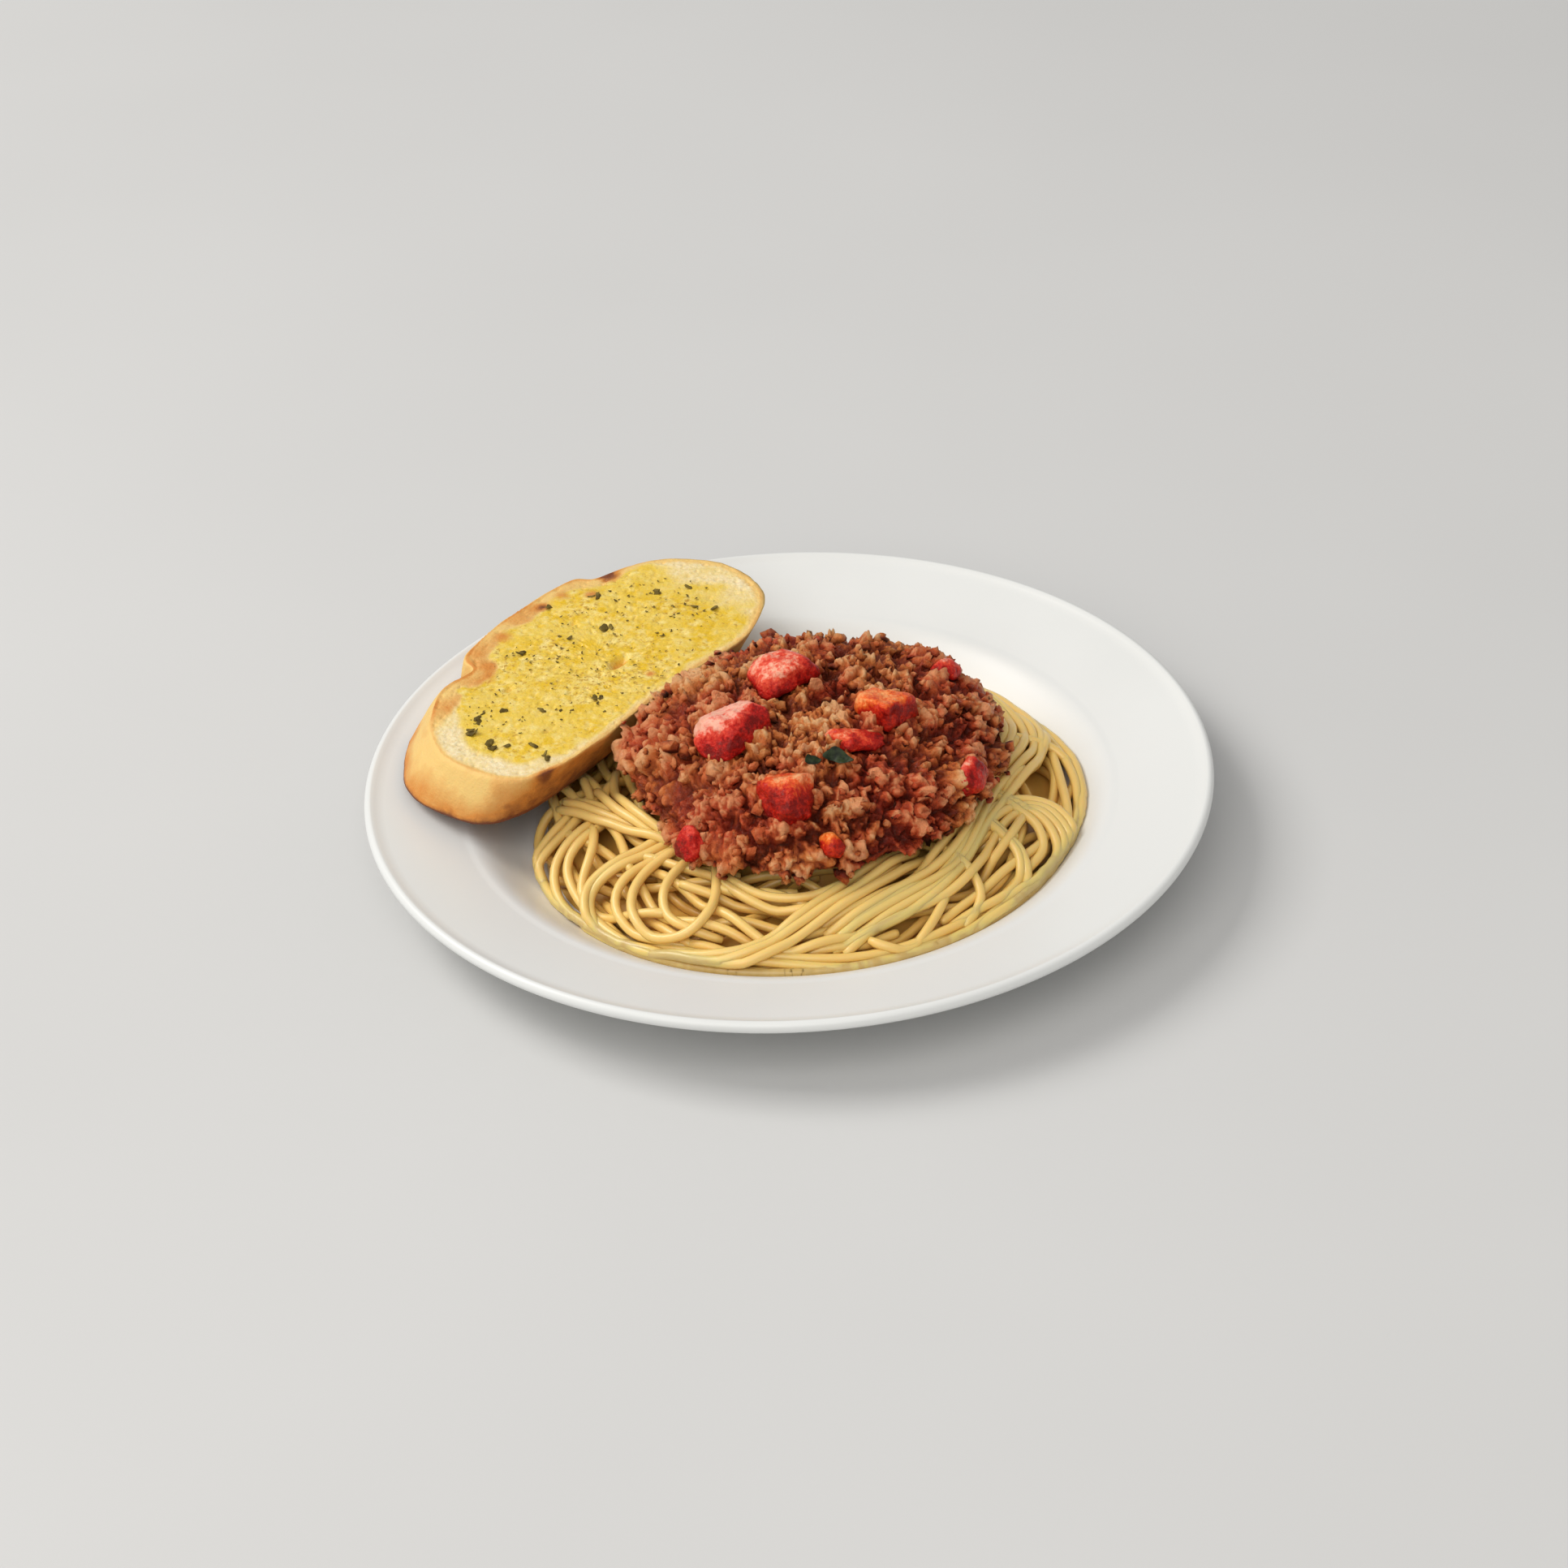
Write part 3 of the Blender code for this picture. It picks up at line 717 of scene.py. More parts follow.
def mince_relief(points):
    """(lift in metres, height share, redness) of the mince at points: lobes, lumps, crumbs and granules, each
    bent a little by noise so that no two are alike. The height share is low in the creases, which the material
    paints near black as painted shade."""
    bent = points + 1.9 * MM * np.stack([soft_noise(points, 3.0 * MM, seed) for seed in (41, 42, 43)], axis=-1)
    bent += 0.7 * MM * np.stack([soft_noise(points, 1.2 * MM, seed) for seed in (51, 52, 53)], axis=-1)
    lobe, _ = granules(bent, 14 * MM, 1, 0.34)
    lump, lump_value = granules(bent, 6.8 * MM, 2, 0.40)
    crumb, crumb_value = granules(bent, 3.7 * MM, 3, 0.5)
    grain, grain_value = granules(bent, 1.9 * MM, 4, 0.6)
    lift = 4.4 * lobe + lump * (1.0 + 2.5 * lump_value) + crumb * (0.6 + 1.6 * crumb_value)
    lift += grain * (0.1 + 0.40 * grain_value)
    gap = near_nodes(points, TOMATOES)
    lift += 1.5 * (1 - smoothstep((gap - 0.5) / 3.5))
    # Colour share: low in the creases between lobes, lumps and crumbs, where the colour is painted dark as painted
    # shade.
    height = (0.25 + 0.75 * lobe) * (0.35 + 0.65 * lump) * (0.4 + 0.6 * crumb) * (0.75 + 0.25 * grain)
    height *= 0.7 + 0.6 * crumb_value
    red = 0.56 + 0.45 * soft_noise(points, 13 * MM, 44) + 0.25 * (crumb_value - 0.5)
    for x, y, radius, amount in RED_PATCHES:
        red += amount * np.exp(-(((points[..., 0] / MM - x) ** 2 + (points[..., 1] / MM - y) ** 2) / radius**2))
    return lift * MM, height, red


def left_painted_light(points):
    """How much paler the mince is painted at points: painted light on the left, the side towards the window."""
    return 0.10 * smoothstep((-points[..., 0] / MM - 4) / 28)


# Where more of the tomato lies on the mince: plan place, radius in millimetres and how much redder.
RED_PATCHES = ((-28, -47, 10, 0.5), (31, -46, 10, 0.5), (-42, -4, 8, 0.35), (54, -22, 9, 0.4), (22, -26, 7, 0.35))


def grid_normals(rings):
    """Unit normals of a closed grid of points, [ring, corner, xyz]."""
    around = np.roll(rings, -1, axis=1) - np.roll(rings, 1, axis=1)
    normals = np.cross(np.gradient(rings, axis=0), around)
    return normals / np.maximum(np.linalg.norm(normals, axis=-1), 1e-12)[..., None]


def mound_rings(rings, corners):
    """The mound's plain form as [ring, corner, xyz], from its top down to its edge, read from the CAD solid."""
    turn = np.linspace(0, 2 * np.pi, corners, endpoint=False)
    edge_tilt = np.arctan2(24.5 * MM - MOUND_FOCUS[2], sauce_radius(turn))
    tilt = np.linspace(np.radians(88), edge_tilt, rings)
    ways = np.stack([np.cos(tilt) * np.cos(turn), np.cos(tilt) * np.sin(turn), np.sin(tilt)], axis=-1)
    found = leave_points("bolognese_sauce", MOUND_FOCUS, ways)
    for _ in range(6):
        beside = (np.roll(found, 1, axis=1) + np.roll(found, -1, axis=1)) / 2
        above = np.concatenate([found[:1], found[:-1]])
        below = np.concatenate([found[1:], found[-1:]])
        found = (2 * found + beside + (above + below) / 2) / 4
    return found


plain = mound_rings(136, 700)
outward = grid_normals(plain)
lift, relief_tone_light_and_shade, redness = mince_relief(plain)
lift -= 0.5 * MM + lift.mean()
relief_tone_light_and_shade = 0.46 + 0.24 * (relief_tone_light_and_shade - relief_tone_light_and_shade.mean()) / relief_tone_light_and_shade.std()
# Painted light: the left side of the mound is painted paler.
relief_tone_light_and_shade += left_painted_light(plain)
surface = plain + outward * lift[..., None]
bread_gap = -((surface - bread_middle) @ bread_y) / MM - BREAD_EDGE
bread_place = (surface - bread_middle) @ bread_x / MM
leaning = (1 - smoothstep((bread_gap - 1.0) / 11)) * smoothstep((bread_place + 38) / 12)
leaning *= 1 - smoothstep((bread_place - 20) / 16)
short_of_top = np.maximum(bread_high[2] - 0.6 * MM + 0.5 * lift - surface[..., 2], 0)
surface[..., 2] += leaning * short_of_top
cover = sample(pile, surface[..., 0], surface[..., 1]) + 0.4 * MM
over_strands = np.linspace(0, 1, len(surface))[:, None] < 0.93
surface[..., 2] = np.where(over_strands, np.maximum(surface[..., 2], cover), surface[..., 2])
skirt = surface[-1] * [1, 1, 0] + [0, 0, 21 * MM]
skirt[:, :2] = MOUND_FOCUS[:2] + (skirt[:, :2] - MOUND_FOCUS[:2]) * 0.95
under = skirt.copy()
under[:, :2] = MOUND_FOCUS[:2] + (skirt[:, :2] - MOUND_FOCUS[:2]) * 0.3


def simmered_mince():
    """Browned mince under a film of tomato and fat. It is painted near black between the crumbs, partly sauce and
    partly painted shade, tan where they stand out, and redder in patches where more tomato lies."""
    material = new_material(
        "simmered_mince",
        Roughness=0.34,
        Subsurface_Weight=0.10,
        Subsurface_Radius=(0.002, 0.0006, 0.0003),
        Subsurface_Scale=0.6,
        Specular_IOR_Level=0.45,
        Specular_Tint=(1.0, 0.64, 0.44, 1),
        Coat_Weight=0.08,
        Coat_Roughness=0.16,
    )
    shader = material.node_tree.nodes["Principled BSDF"]
    height = node(material, "ShaderNodeMath", {1: 0.34}, operation="MULTIPLY_ADD")
    link(material, speckle(material, 520, 4), height.inputs[0])
    link(material, painted(material, "height"), height.inputs[2])
    meat = ramp(material, height.outputs[0], *BROWNED_AND_SHADED)
    sauce = ramp(material, height.outputs[0], *REDDENED_AND_SHADED)
    patch = node(material, "ShaderNodeMath", {1: 0.5}, operation="MULTIPLY_ADD")
    link(material, speckle(material, 160, 3), patch.inputs[0])
    link(material, painted(material, "redness"), patch.inputs[2])
    share = ramp(material, patch.outputs[0], (0.60, (0.0,)), (1.05, (0.9,)))
    both = node(material, "ShaderNodeMix", data_type="RGBA")
    link(material, share, both.inputs["Factor"])
    link(material, meat, both.inputs[6])
    link(material, sauce, both.inputs[7])
    link(material, both.outputs[2], shader.inputs["Base Color"])
    bump(material, speckle(material, 420, 5, 0.75), 1.0, 0.0020)
    bump(material, speckle(material, 1300, 3, 0.6), 0.5, 0.0004)
    return material


# Colours along the height share; the lowest stops, near black, are painted shade in the creases.
BROWNED_AND_SHADED = (
    (0.30, (0.030, 0.004, 0.002)),
    (0.50, (0.22, 0.032, 0.007)),
    (0.70, (0.66, 0.185, 0.042)),
    (0.92, (0.80, 0.34, 0.115)),
    (1.08, (0.90, 0.50, 0.23)),
)
REDDENED_AND_SHADED = (
    (0.30, (0.034, 0.003, 0.002)),
    (0.52, (0.26, 0.014, 0.005)),
    (0.75, (0.60, 0.072, 0.022)),
    (0.98, (0.82, 0.28, 0.12)),
)
mince_material = simmered_mince()

mound = new_piece(
    "sauce_mound",
    *stacked_rings(
        np.concatenate([surface, [skirt, under]])[None],
        np.array([surface[0].mean(axis=0)]),
        np.array([under.mean(axis=0)]),
    ),
    mince_material,
    slot="meat_sauce",
    stands_for=["bolognese_sauce"],
)
# The skirt and the underside are painted at 0, the darkest painted shade.
for name, values in (("height", relief_tone_light_and_shade), ("redness", redness)):
    paint(mound, name, np.concatenate([values.ravel(), np.zeros(2 * under.shape[0]), [values[0].mean(), 0]]))


def surface_points(rings, normals, count, seed):
    """Random points spread evenly over a grid of points, with their normals."""
    rng = np.random.default_rng(seed)
    side_a = np.linalg.norm(np.gradient(rings, axis=0), axis=-1)
    side_b = np.linalg.norm(np.gradient(rings, axis=1), axis=-1)
    area = (side_a * side_b).ravel()
    chosen = rng.choice(len(area), count, replace=False, p=area / area.sum())
    return rings.reshape(-1, 3)[chosen], normals.reshape(-1, 3)[chosen]


def spaced(points, gap):
    """Numbers of the points that are left when each must stand at least gap from those kept before it."""
    kept = []
    for index, point in enumerate(points):
        if not kept or np.min(np.sum((points[kept] - point) ** 2, axis=1)) > gap * gap:
            kept.append(index)
    return kept


def crumb_rings(centres, radii, seed, rings=4, corners=7):
    """Small lumps, [lump, ring, corner, xyz], with their end points: balls drawn out and squashed, each vertex
    moved in or out at random and each lump turned its own way."""
    rng = np.random.default_rng(seed)
    count = len(centres)
    tilt = np.linspace(np.pi / 2, -np.pi / 2, rings + 2)[1:-1, None]
    turn = np.linspace(0, 2 * np.pi, corners, endpoint=False)[None] + np.arange(rings)[:, None] * np.pi / corners
    ball = np.stack([np.cos(tilt) * np.cos(turn), np.cos(tilt) * np.sin(turn), np.sin(tilt) + 0 * turn], axis=-1)
    ends = np.array([[0, 0, 1.0], [0, 0, -1.0]])
    bulge = rng.uniform(0.45, 1.45, (count, rings * corners + 2, 1))
    shapes = np.concatenate([ball.reshape(-1, 3), ends])[None] * bulge * rng.uniform(0.55, 1.45, (count, 1, 3))
    spin, _ = np.linalg.qr(rng.normal(size=(count, 3, 3)))
    spin *= np.sign(np.linalg.det(spin))[:, None, None]
    shapes = centres[:, None] + np.einsum("nij,nkj->nki", spin, shapes) * radii[:, None, None]
    return shapes[:, :-2].reshape(count, rings, corners, 3), shapes[:, -2], shapes[:, -1]


rng = np.random.default_rng(11)
high_ground = lift[:-2] > -0.4 * MM
spots, spot_normals = surface_points(
    np.where(high_ground[..., None], surface[:-2], surface[-2]), outward[:-2], 7000, 5
)
kept = spaced(spots, 2.9 * MM)
kept = np.array(kept)[near_nodes(spots[kept], TOMATOES) > -0.8][:800]
spots, spot_normals = spots[kept], spot_normals[kept]
radii = (0.8 + 1.3 * rng.uniform(0, 1, len(spots)) ** 1.5) * MM
crumbs = spots - spot_normals * (0.30 * radii)[:, None]
lumps, first_ends, last_ends = crumb_rings(crumbs, radii, 12)
mince = new_piece(
    "mince_crumbs",
    *stacked_rings(lumps, first_ends, last_ends),
    mince_material,
    slot="meat_sauce",
    stands_for=["bolognese_sauce"],
)
every = np.concatenate([lumps.reshape(len(crumbs), -1, 3), first_ends[:, None], last_ends[:, None]], axis=1)
above = np.einsum("nki,ni->nk", every - crumbs[:, None], spot_normals) / radii[:, None]
_, _, crumb_redness = mince_relief(crumbs)
# Each crumb is painted darker at its foot, where it sinks into the mound, as painted shade, and paler on the left as
# painted light.
paint(mince, "height", 0.39 + left_painted_light(crumbs)[:, None] + 0.28 * above + rng.uniform(-0.16, 0.14, (len(crumbs), 1)))
paint(mince, "redness", np.repeat(crumb_redness, every.shape[1]))


# ================================================================ Tomato pieces and herb leaf
# Plum tomatoes cut into chunks and warmed through in the sauce: soft wet flesh with the skin still on one side.
# One torn basil leaf lies between them, wilted and dark.


def ripe_tomato():
    """Wet tomato: light goes well into the flesh. The skin side is deep red; the cut side, which faces up towards
    the light, is painted pale and pinkish, partly cut flesh and partly painted highlight; riper flesh is more
    orange."""
    material = new_material(
        "ripe_tomato",
        Roughness=0.30,
        Subsurface_Weight=0.18,
        Subsurface_Radius=(0.004, 0.0006, 0.0003),
        Subsurface_Scale=0.6,
        Specular_IOR_Level=0.25,
        Specular_Tint=(1.0, 0.62, 0.45, 1),
        Coat_Weight=0.12,
        Coat_Roughness=0.15,
    )
    shader = material.node_tree.nodes["Principled BSDF"]
    coarse = node(material, "ShaderNodeMath", {1: 0.9}, operation="MULTIPLY_ADD")
    link(material, speckle(material, 330, 4, 0.6), coarse.inputs[0])
    link(material, painted(material, "cut_and_lit_side"), coarse.inputs[2])
    height = node(material, "ShaderNodeMath", {1: 0.9}, operation="MULTIPLY_ADD")
    link(material, speckle(material, 900, 3, 0.6), height.inputs[0])
    link(material, coarse.outputs[0], height.inputs[2])
    # The palest stops, pinkish white and pale orange, are painted highlight on the lit, cut side.
    flesh = ramp(
        material,
        height.outputs[0],
        (0.77, (0.20, 0.003, 0.004)),
        (1.04, (0.52, 0.010, 0.008)),
        (1.34, (0.80, 0.075, 0.042)),
        (1.62, (0.93, 0.45, 0.33)),
    )
    orange = ramp(
        material,
        height.outputs[0],
        (0.77, (0.22, 0.003, 0.003)),
        (1.10, (0.58, 0.020, 0.006)),
        (1.42, (0.88, 0.17, 0.020)),
        (1.72, (0.96, 0.44, 0.14)),
    )
    colour = node(material, "ShaderNodeMix", data_type="RGBA")
    link(material, painted(material, "orange"), colour.inputs["Factor"])
    link(material, flesh, colour.inputs[6])
    link(material, orange, colour.inputs[7])
    link(material, colour.outputs[2], shader.inputs["Base Color"])
    bump(material, speckle(material, 300, 5, 0.65), 0.9, 0.0016)
    bump(material, speckle(material, 900, 3, 0.6), 0.5, 0.0006)
    return material


# How each chunk was cut: the way its pale side faces (its cut side, turned up towards the light, so that the
# paleness is partly cut flesh and partly painted light), how pale that side is, how orange the chunk is, its size
# beside the CAD solid's, and each slice's way and how far out it runs, as a share of the chunk's half size.
TOMATO_CUTS = {
    "tomato_left": (
        (-0.8, 0.5, 0.7), 0.75, 0.0, 1.06,
        ((-0.5, 0.6, 0.7, 0.84), (0.8, -0.9, 0.3, 0.74), (0.9, 0.7, 0.1, 0.80), (-0.9, -0.7, 0.2, 0.80)),
    ),
    "tomato_back": (
        (-0.6, -0.2, 0.7), 0.55, 0.15, 0.98,
        ((-0.8, -0.5, 0.5, 0.75), (0.7, 0.6, 0.5, 0.80), (0.6, -0.9, 0.1, 0.85)),
    ),
    "tomato_right": (
        (-0.2, 0.6, 0.7), 0.55, 0.9, 1.04,
        ((0.9, -0.8, 0.1, 0.52), (-0.9, -0.8, 0.1, 0.55), (0.1, 0.2, 1.0, 0.8)),
    ),
    "tomato_front": (
        (0.2, 0.3, 0.8), 0.45, 0.7, 1.0,
        ((0.9, -0.5, 0.3, 0.75), (-0.9, -0.6, 0.0, 0.72), (-0.1, 0.5, 0.9, 0.8)),
    ),
    "tomato_far_right": ((0.1, 0.6, 0.8), 0.4, 0.2, 0.92, ((-0.7, 0.5, 0.5, 0.7), (0.8, -0.2, 0.4, 0.75))),
    "tomato_side": ((-0.5, 0.3, 0.4), 0.4, 0.1, 1.0, ((-0.9, 0.5, 0.3, 0.65), (0.5, 0.8, 0.4, 0.75))),
    "tomato_strip": ((-0.3, 0.2, 0.5), 0.4, 0.4, 1.3, ((-0.9, -0.5, 0.3, 0.7), (0.6, 0.3, 0.8, 0.8))),
    "tomato_low_left": ((0.0, 0.3, 0.2), 0.25, 0.0, 0.95, ((0.8, 0.4, 0.6, 0.75), (-0.7, 0.6, 0.4, 0.8))),
    "tomato_low_front": ((0.0, 0.5, 0.8), 0.45, 1.0, 1.0, ((0.8, 0.4, 0.5, 0.7), (-0.8, -0.3, 0.4, 0.75))),
}  # fmt: skip


def cut_chunk(name, cuts, scale, seed):
    """A chunk, [ring, corner, xyz]: the CAD solid, sliced softly by planes, then dented by noise."""
    low, high = (np.array(side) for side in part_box(name))
    middle, half = (low + high) / 2, (high - low) / 2
    tilt = np.linspace(np.pi / 2, -np.pi / 2, 42)[1:-1, None]
    turn = np.linspace(0, 2 * np.pi, 64, endpoint=False)[None]
    ways = np.stack([np.cos(tilt) * np.cos(turn), np.cos(tilt) * np.sin(turn), np.sin(tilt) + 0 * turn], axis=-1)
    reach = (leave_points(name, middle, ways) - middle) / half * 1.08 * scale
    softness = 10
    total = np.ones(ways.shape[:-1])
    for *way, distance in cuts:
        way = np.array(way) / np.linalg.norm(way)
        total += np.maximum(reach @ way / distance, 0) ** softness
    reach = reach * (total ** (-1 / softness))[..., None]
    points = middle + reach * half
    dent = 0.13 * soft_noise(points, 6 * MM, seed) + 0.09 * soft_noise(points, 2.6 * MM, seed + 9)
    dent += 0.035 * soft_noise(points, 1.2 * MM, seed + 19)
    return middle + (points - middle) * (1 + dent)[..., None], reach


tomato_material = ripe_tomato()
for seed, name in enumerate(TOMATOES):
    lit_cut_way, lit_cut_paleness, orange, scale, cuts = TOMATO_CUTS[name]
    chunk, reach = cut_chunk(name, cuts, scale, seed)
    piece = new_piece(
        name + "_flesh",
        *stacked_rings(chunk[None], chunk[:1].mean(axis=1), chunk[-1:].mean(axis=1)),
        tomato_material,
        slot="tomato",
        stands_for=[name],
    )
    pale = np.array(lit_cut_way) / np.linalg.norm(lit_cut_way)
    gel = soft_noise(chunk, 3.2 * MM, seed + 29)
    # Painted light: paler on the side that faces up towards the light, with blotches of gel.
    cut_and_lit_side = 0.02 + lit_cut_paleness * smoothstep((reach @ pale + 0.10) / 0.8) + 0.22 * gel
    paint(piece, "cut_and_lit_side", np.concatenate([cut_and_lit_side.ravel(), [cut_and_lit_side[0].mean(), cut_and_lit_side[-1].mean()]]))
    paint(piece, "orange", np.full(cut_and_lit_side.size + 2, orange))


def torn_leaf(place, length, width, turn, seed):
    """A torn leaf, [ring, corner, xyz]: flat rings 0.4 mm thick across it, cupped as y squared over twice its
    width, its ends raised and all of it crumpled by noise. It leans towards the eater and is turned by turn."""
    t = np.linspace(0.02, 0.98, 30)[:, None]
    side = np.linspace(2 * np.pi, 0, 36, endpoint=False)[None]
    x = (t - 0.5) * length + 0 * side
    y = width / 2 * np.sin(np.pi * t**0.8) ** 0.9 * np.cos(side) + 0.07 * length * np.sin(5 * t)
    flat = np.stack([x, y, 0 * x], axis=-1)
    y = y * (1 + 0.22 * soft_noise(flat, 1.6 * MM, seed))
    z = 0.2 * MM * np.sin(side) + y**2 / (2 * width) + (2 * t - 1) ** 2 * 0.10 * length
    z += 0.45 * MM * soft_noise(flat, 1.9 * MM, seed + 1)
    lean = math.radians(32)
    y, z = y * math.cos(lean) - z * math.sin(lean), y * math.sin(lean) + z * math.cos(lean)
    across = x * math.cos(turn) - y * math.sin(turn)
    along = x * math.sin(turn) + y * math.cos(turn)
    close_by = np.hypot(surface[..., 0] - place[0] * MM, surface[..., 1] - place[1] * MM) < 2.6 * MM
    ground = surface[..., 2][close_by].max() + 0.3 * MM
    return np.stack([across + place[0] * MM, along + place[1] * MM, z + ground], axis=-1)


def wilted_leaf():
    """Cooked basil: dark green going brown, wet with sauce."""
    material = new_material("wilted_leaf", Roughness=0.5, Specular_IOR_Level=0.2)
    colour = ramp(material, speckle(material, 420, 3), (0.35, (0.006, 0.010, 0.004)), (0.7, (0.032, 0.050, 0.015)))
    link(material, colour, material.node_tree.nodes["Principled BSDF"].inputs["Base Color"])
    bump(material, speckle(material, 900, 3), 0.6, 0.0004)
    return material


leaves = np.stack([
    torn_leaf((14.5, -36), 9.5 * MM, 4.2 * MM, math.radians(-14), 61),
    torn_leaf((7.2, -37), 5 * MM, 3.2 * MM, math.radians(15), 71),
])
new_piece(
    "basil_leaf",
    *stacked_rings(leaves, leaves[:, 0].mean(axis=1), leaves[:, -1].mean(axis=1)),
    wilted_leaf(),
    slot="herb",
)


# ================================================================ Garlic bread
# One slice cut aslant from a thin loaf, about 17 mm thick. Its cut face is spread with garlic butter and grilled,
# so the crumb is yellow where the butter soaked in, pale at the two ends and toasted along the crust. Its wall is
# painted darker on the near side and round the near corner, which face away from the light, and the bubble holes
# are painted darker: painted shade. The wall is also darker towards the bottom.

BREAD_CORNERS = 520

turn = np.linspace(0, 2 * np.pi, BREAD_CORNERS, endpoint=False)
outwards = np.cos(turn)[:, None] * bread_x * 67 + np.sin(turn)[:, None] * bread_y * 34
outwards /= np.linalg.norm(outwards, axis=1)[:, None]


def bread_ring(height):
    """The slice's outline at a height, [corner, xyz], smoothed a little along its run."""
    ring = leave_points("garlic_bread", np.array([*bread_middle[:2], height]), outwards)
    for _ in range(12):
        ring = (np.roll(ring, 1, axis=0) + 2 * ring + np.roll(ring, -1, axis=0)) / 4
    return ring


BREAD_TOP = bread_high[2] - 0.3 * MM
wall_heights = np.linspace(bread_high[2] - 0.7 * MM, bread_low[2] + 0.5 * MM, 18)
wall = np.stack([bread_ring(height) for height in wall_heights])
face_shares = np.concatenate([np.linspace(0.02, 0.86, 76), np.linspace(0.87, 0.988, 22)])[:, None, None]
face_centre = np.array([*bread_middle[:2], 0])
face = face_centre + (wall[0] - face_centre) * face_shares
face[..., 2] = BREAD_TOP
base = face_centre + (wall[-1] - face_centre) * np.linspace(0.97, 0.05, 9)[:, None, None]
base[..., 2] = bread_low[2] + 0.1 * MM

along = (face - bread_middle) @ bread_x / MM
across = (face - bread_middle) @ bread_y / MM
from_edge = np.min(
    [np.hypot(*np.moveaxis(face[..., :2] - point[:2], -1, 0)) for point in wall[0, ::2]], axis=0
)

# Bubbles that the knife opened: place along and across the slice, length, width and depth in millimetres.
HOLES = (
    (1.5, -6.6, 6.0, 2.6, 2.4),
    (-28, 12, 2.6, 1.8, 0.9),
    (27, -2, 2.2, 1.5, 0.8),
    (-12, 8, 2.6, 1.4, 0.8),
    (46, -8, 2.0, 1.4, 0.7),
    (-40, -12, 2.4, 1.3, 0.8),
    (12, 19, 2.2, 1.3, 0.8),
)
near_pore, _, pore_size = crumb_cells(face, 2.3 * MM, 21)
near_small, _, _ = crumb_cells(face, 1.1 * MM, 22)
pits = 0.60 * (1 - smoothstep(near_pore / 0.55)) * (pore_size > 0.45) + 0.28 * (1 - smoothstep(near_small / 0.6))
hole_shade_share = 0
for u, v, length, width, depth in HOLES:
    reach_out = np.hypot((along - u) / length, (across - v) / width)
    inside = 1 - smoothstep(reach_out - 0.1)
    hole_shade_share = np.maximum(hole_shade_share, inside * min(depth, 1.4) / 1.4)
    pits += depth * inside
inner = smoothstep(from_edge / (2.0 * MM))
sag = 0.45 * soft_noise(face, 15 * MM, 23) + 0.22 * soft_noise(face, 4.5 * MM, 24)
rounding = 0.40 * (1 - smoothstep(from_edge / (1.2 * MM)))
rough_crust = 0.25 * soft_noise(face, 2.2 * MM, 28) * (1 - inner)
face[..., 2] += (inner * (sag - pits) - rounding + rough_crust) * MM

wall_way = np.cross(np.gradient(wall, axis=1), [0, 0, 1])
wall_way /= np.linalg.norm(wall_way, axis=-1)[..., None]
ripple = 0.40 * soft_noise(wall, 9 * MM, 25) + 0.16 * soft_noise(wall, 2.5 * MM, 26)
wall += wall_way * ripple[..., None] * MM


def toasted_bread():
    """Toasted wheat bread: crumb, melted butter in it, golden crust and the browner colour of toasting, each where
    it is painted. The browner colours also carry painted shade on the wall's near side and in the bubble holes.
    """
    material = new_material(
        "toasted_bread",
        Roughness=0.62,
        Subsurface_Weight=0.10,
        Subsurface_Radius=(0.003, 0.0015, 0.0006),
        Subsurface_Scale=0.5,
    )
    shader = material.node_tree.nodes["Principled BSDF"]

    def spread(name, noise, amount, low, high):
        """A painted share whose edge is broken up by noise."""
        both = node(material, "ShaderNodeMath", {1: amount}, operation="MULTIPLY_ADD")
        link(material, noise, both.inputs[0])
        link(material, painted(material, name), both.inputs[2])
        return ramp(material, both.outputs[0], (low, (0.0,)), (high, (1.0,)))

    def over(below, share, colour):
        made = node(material, "ShaderNodeMix", {7: (*colour, 1)}, data_type="RGBA")
        link(material, share, made.inputs["Factor"])
        link(material, below, made.inputs[6])
        return made.outputs[2]

    fine = speckle(material, 800, 3)
    mottle = speckle(material, 330, 3, 0.6)
    broad = speckle(material, 110, 4, 0.65)
    crumb = ramp(material, fine, (0.35, (0.78, 0.61, 0.31)), (0.65, (0.87, 0.74, 0.46)))
    buttered = over(crumb, spread("butter", broad, 1.1, 0.55, 1.35), (0.80, 0.560, 0.075))
    soaked = over(buttered, spread("butter", broad, 3.0, 2.32, 2.85), (0.77, 0.49, 0.010))
    cream = over(soaked, spread("butter", mottle, -3.0, -0.60, 0.20), (0.88, 0.70, 0.23))
    specked = over(cream, spread("butter", speckle(material, 700, 3, 0.6), 3.0, 2.72, 3.20), (0.52, 0.29, 0.028))
    golden = over(specked, spread("crust", broad, 0.9, 0.60, 1.20), (0.81, 0.535, 0.170))
    # The browner colours: real toasting and browned spots, and painted shade on the wall's near side and in the
    # holes.
    toasted = over(golden, spread("toast", broad, 0.7, 0.50, 1.05), (0.65, 0.245, 0.036))
    browned = over(toasted, spread("toast", mottle, 0.7, 1.05, 1.55), (0.20, 0.050, 0.010))
    link(material, browned, shader.inputs["Base Color"])
    gloss = ramp(material, spread("butter", mottle, 0.9, 0.6, 1.2), (0.0, (0.65,)), (1.0, (0.38,)))
    link(material, gloss, shader.inputs["Roughness"])
    bump(material, fine, 0.4, 0.0005)
    bump(material, speckle(material, 1600, 3), 0.3, 0.0003)
    return material


bread_rings = np.concatenate([face, wall, base])
bread = new_piece(
    "garlic_bread_slice",
    *stacked_rings(bread_rings[None], face[:1].mean(axis=1), base[-1:].mean(axis=1)),
    toasted_bread(),
    slot="bread",
    stands_for=["garlic_bread"],
)

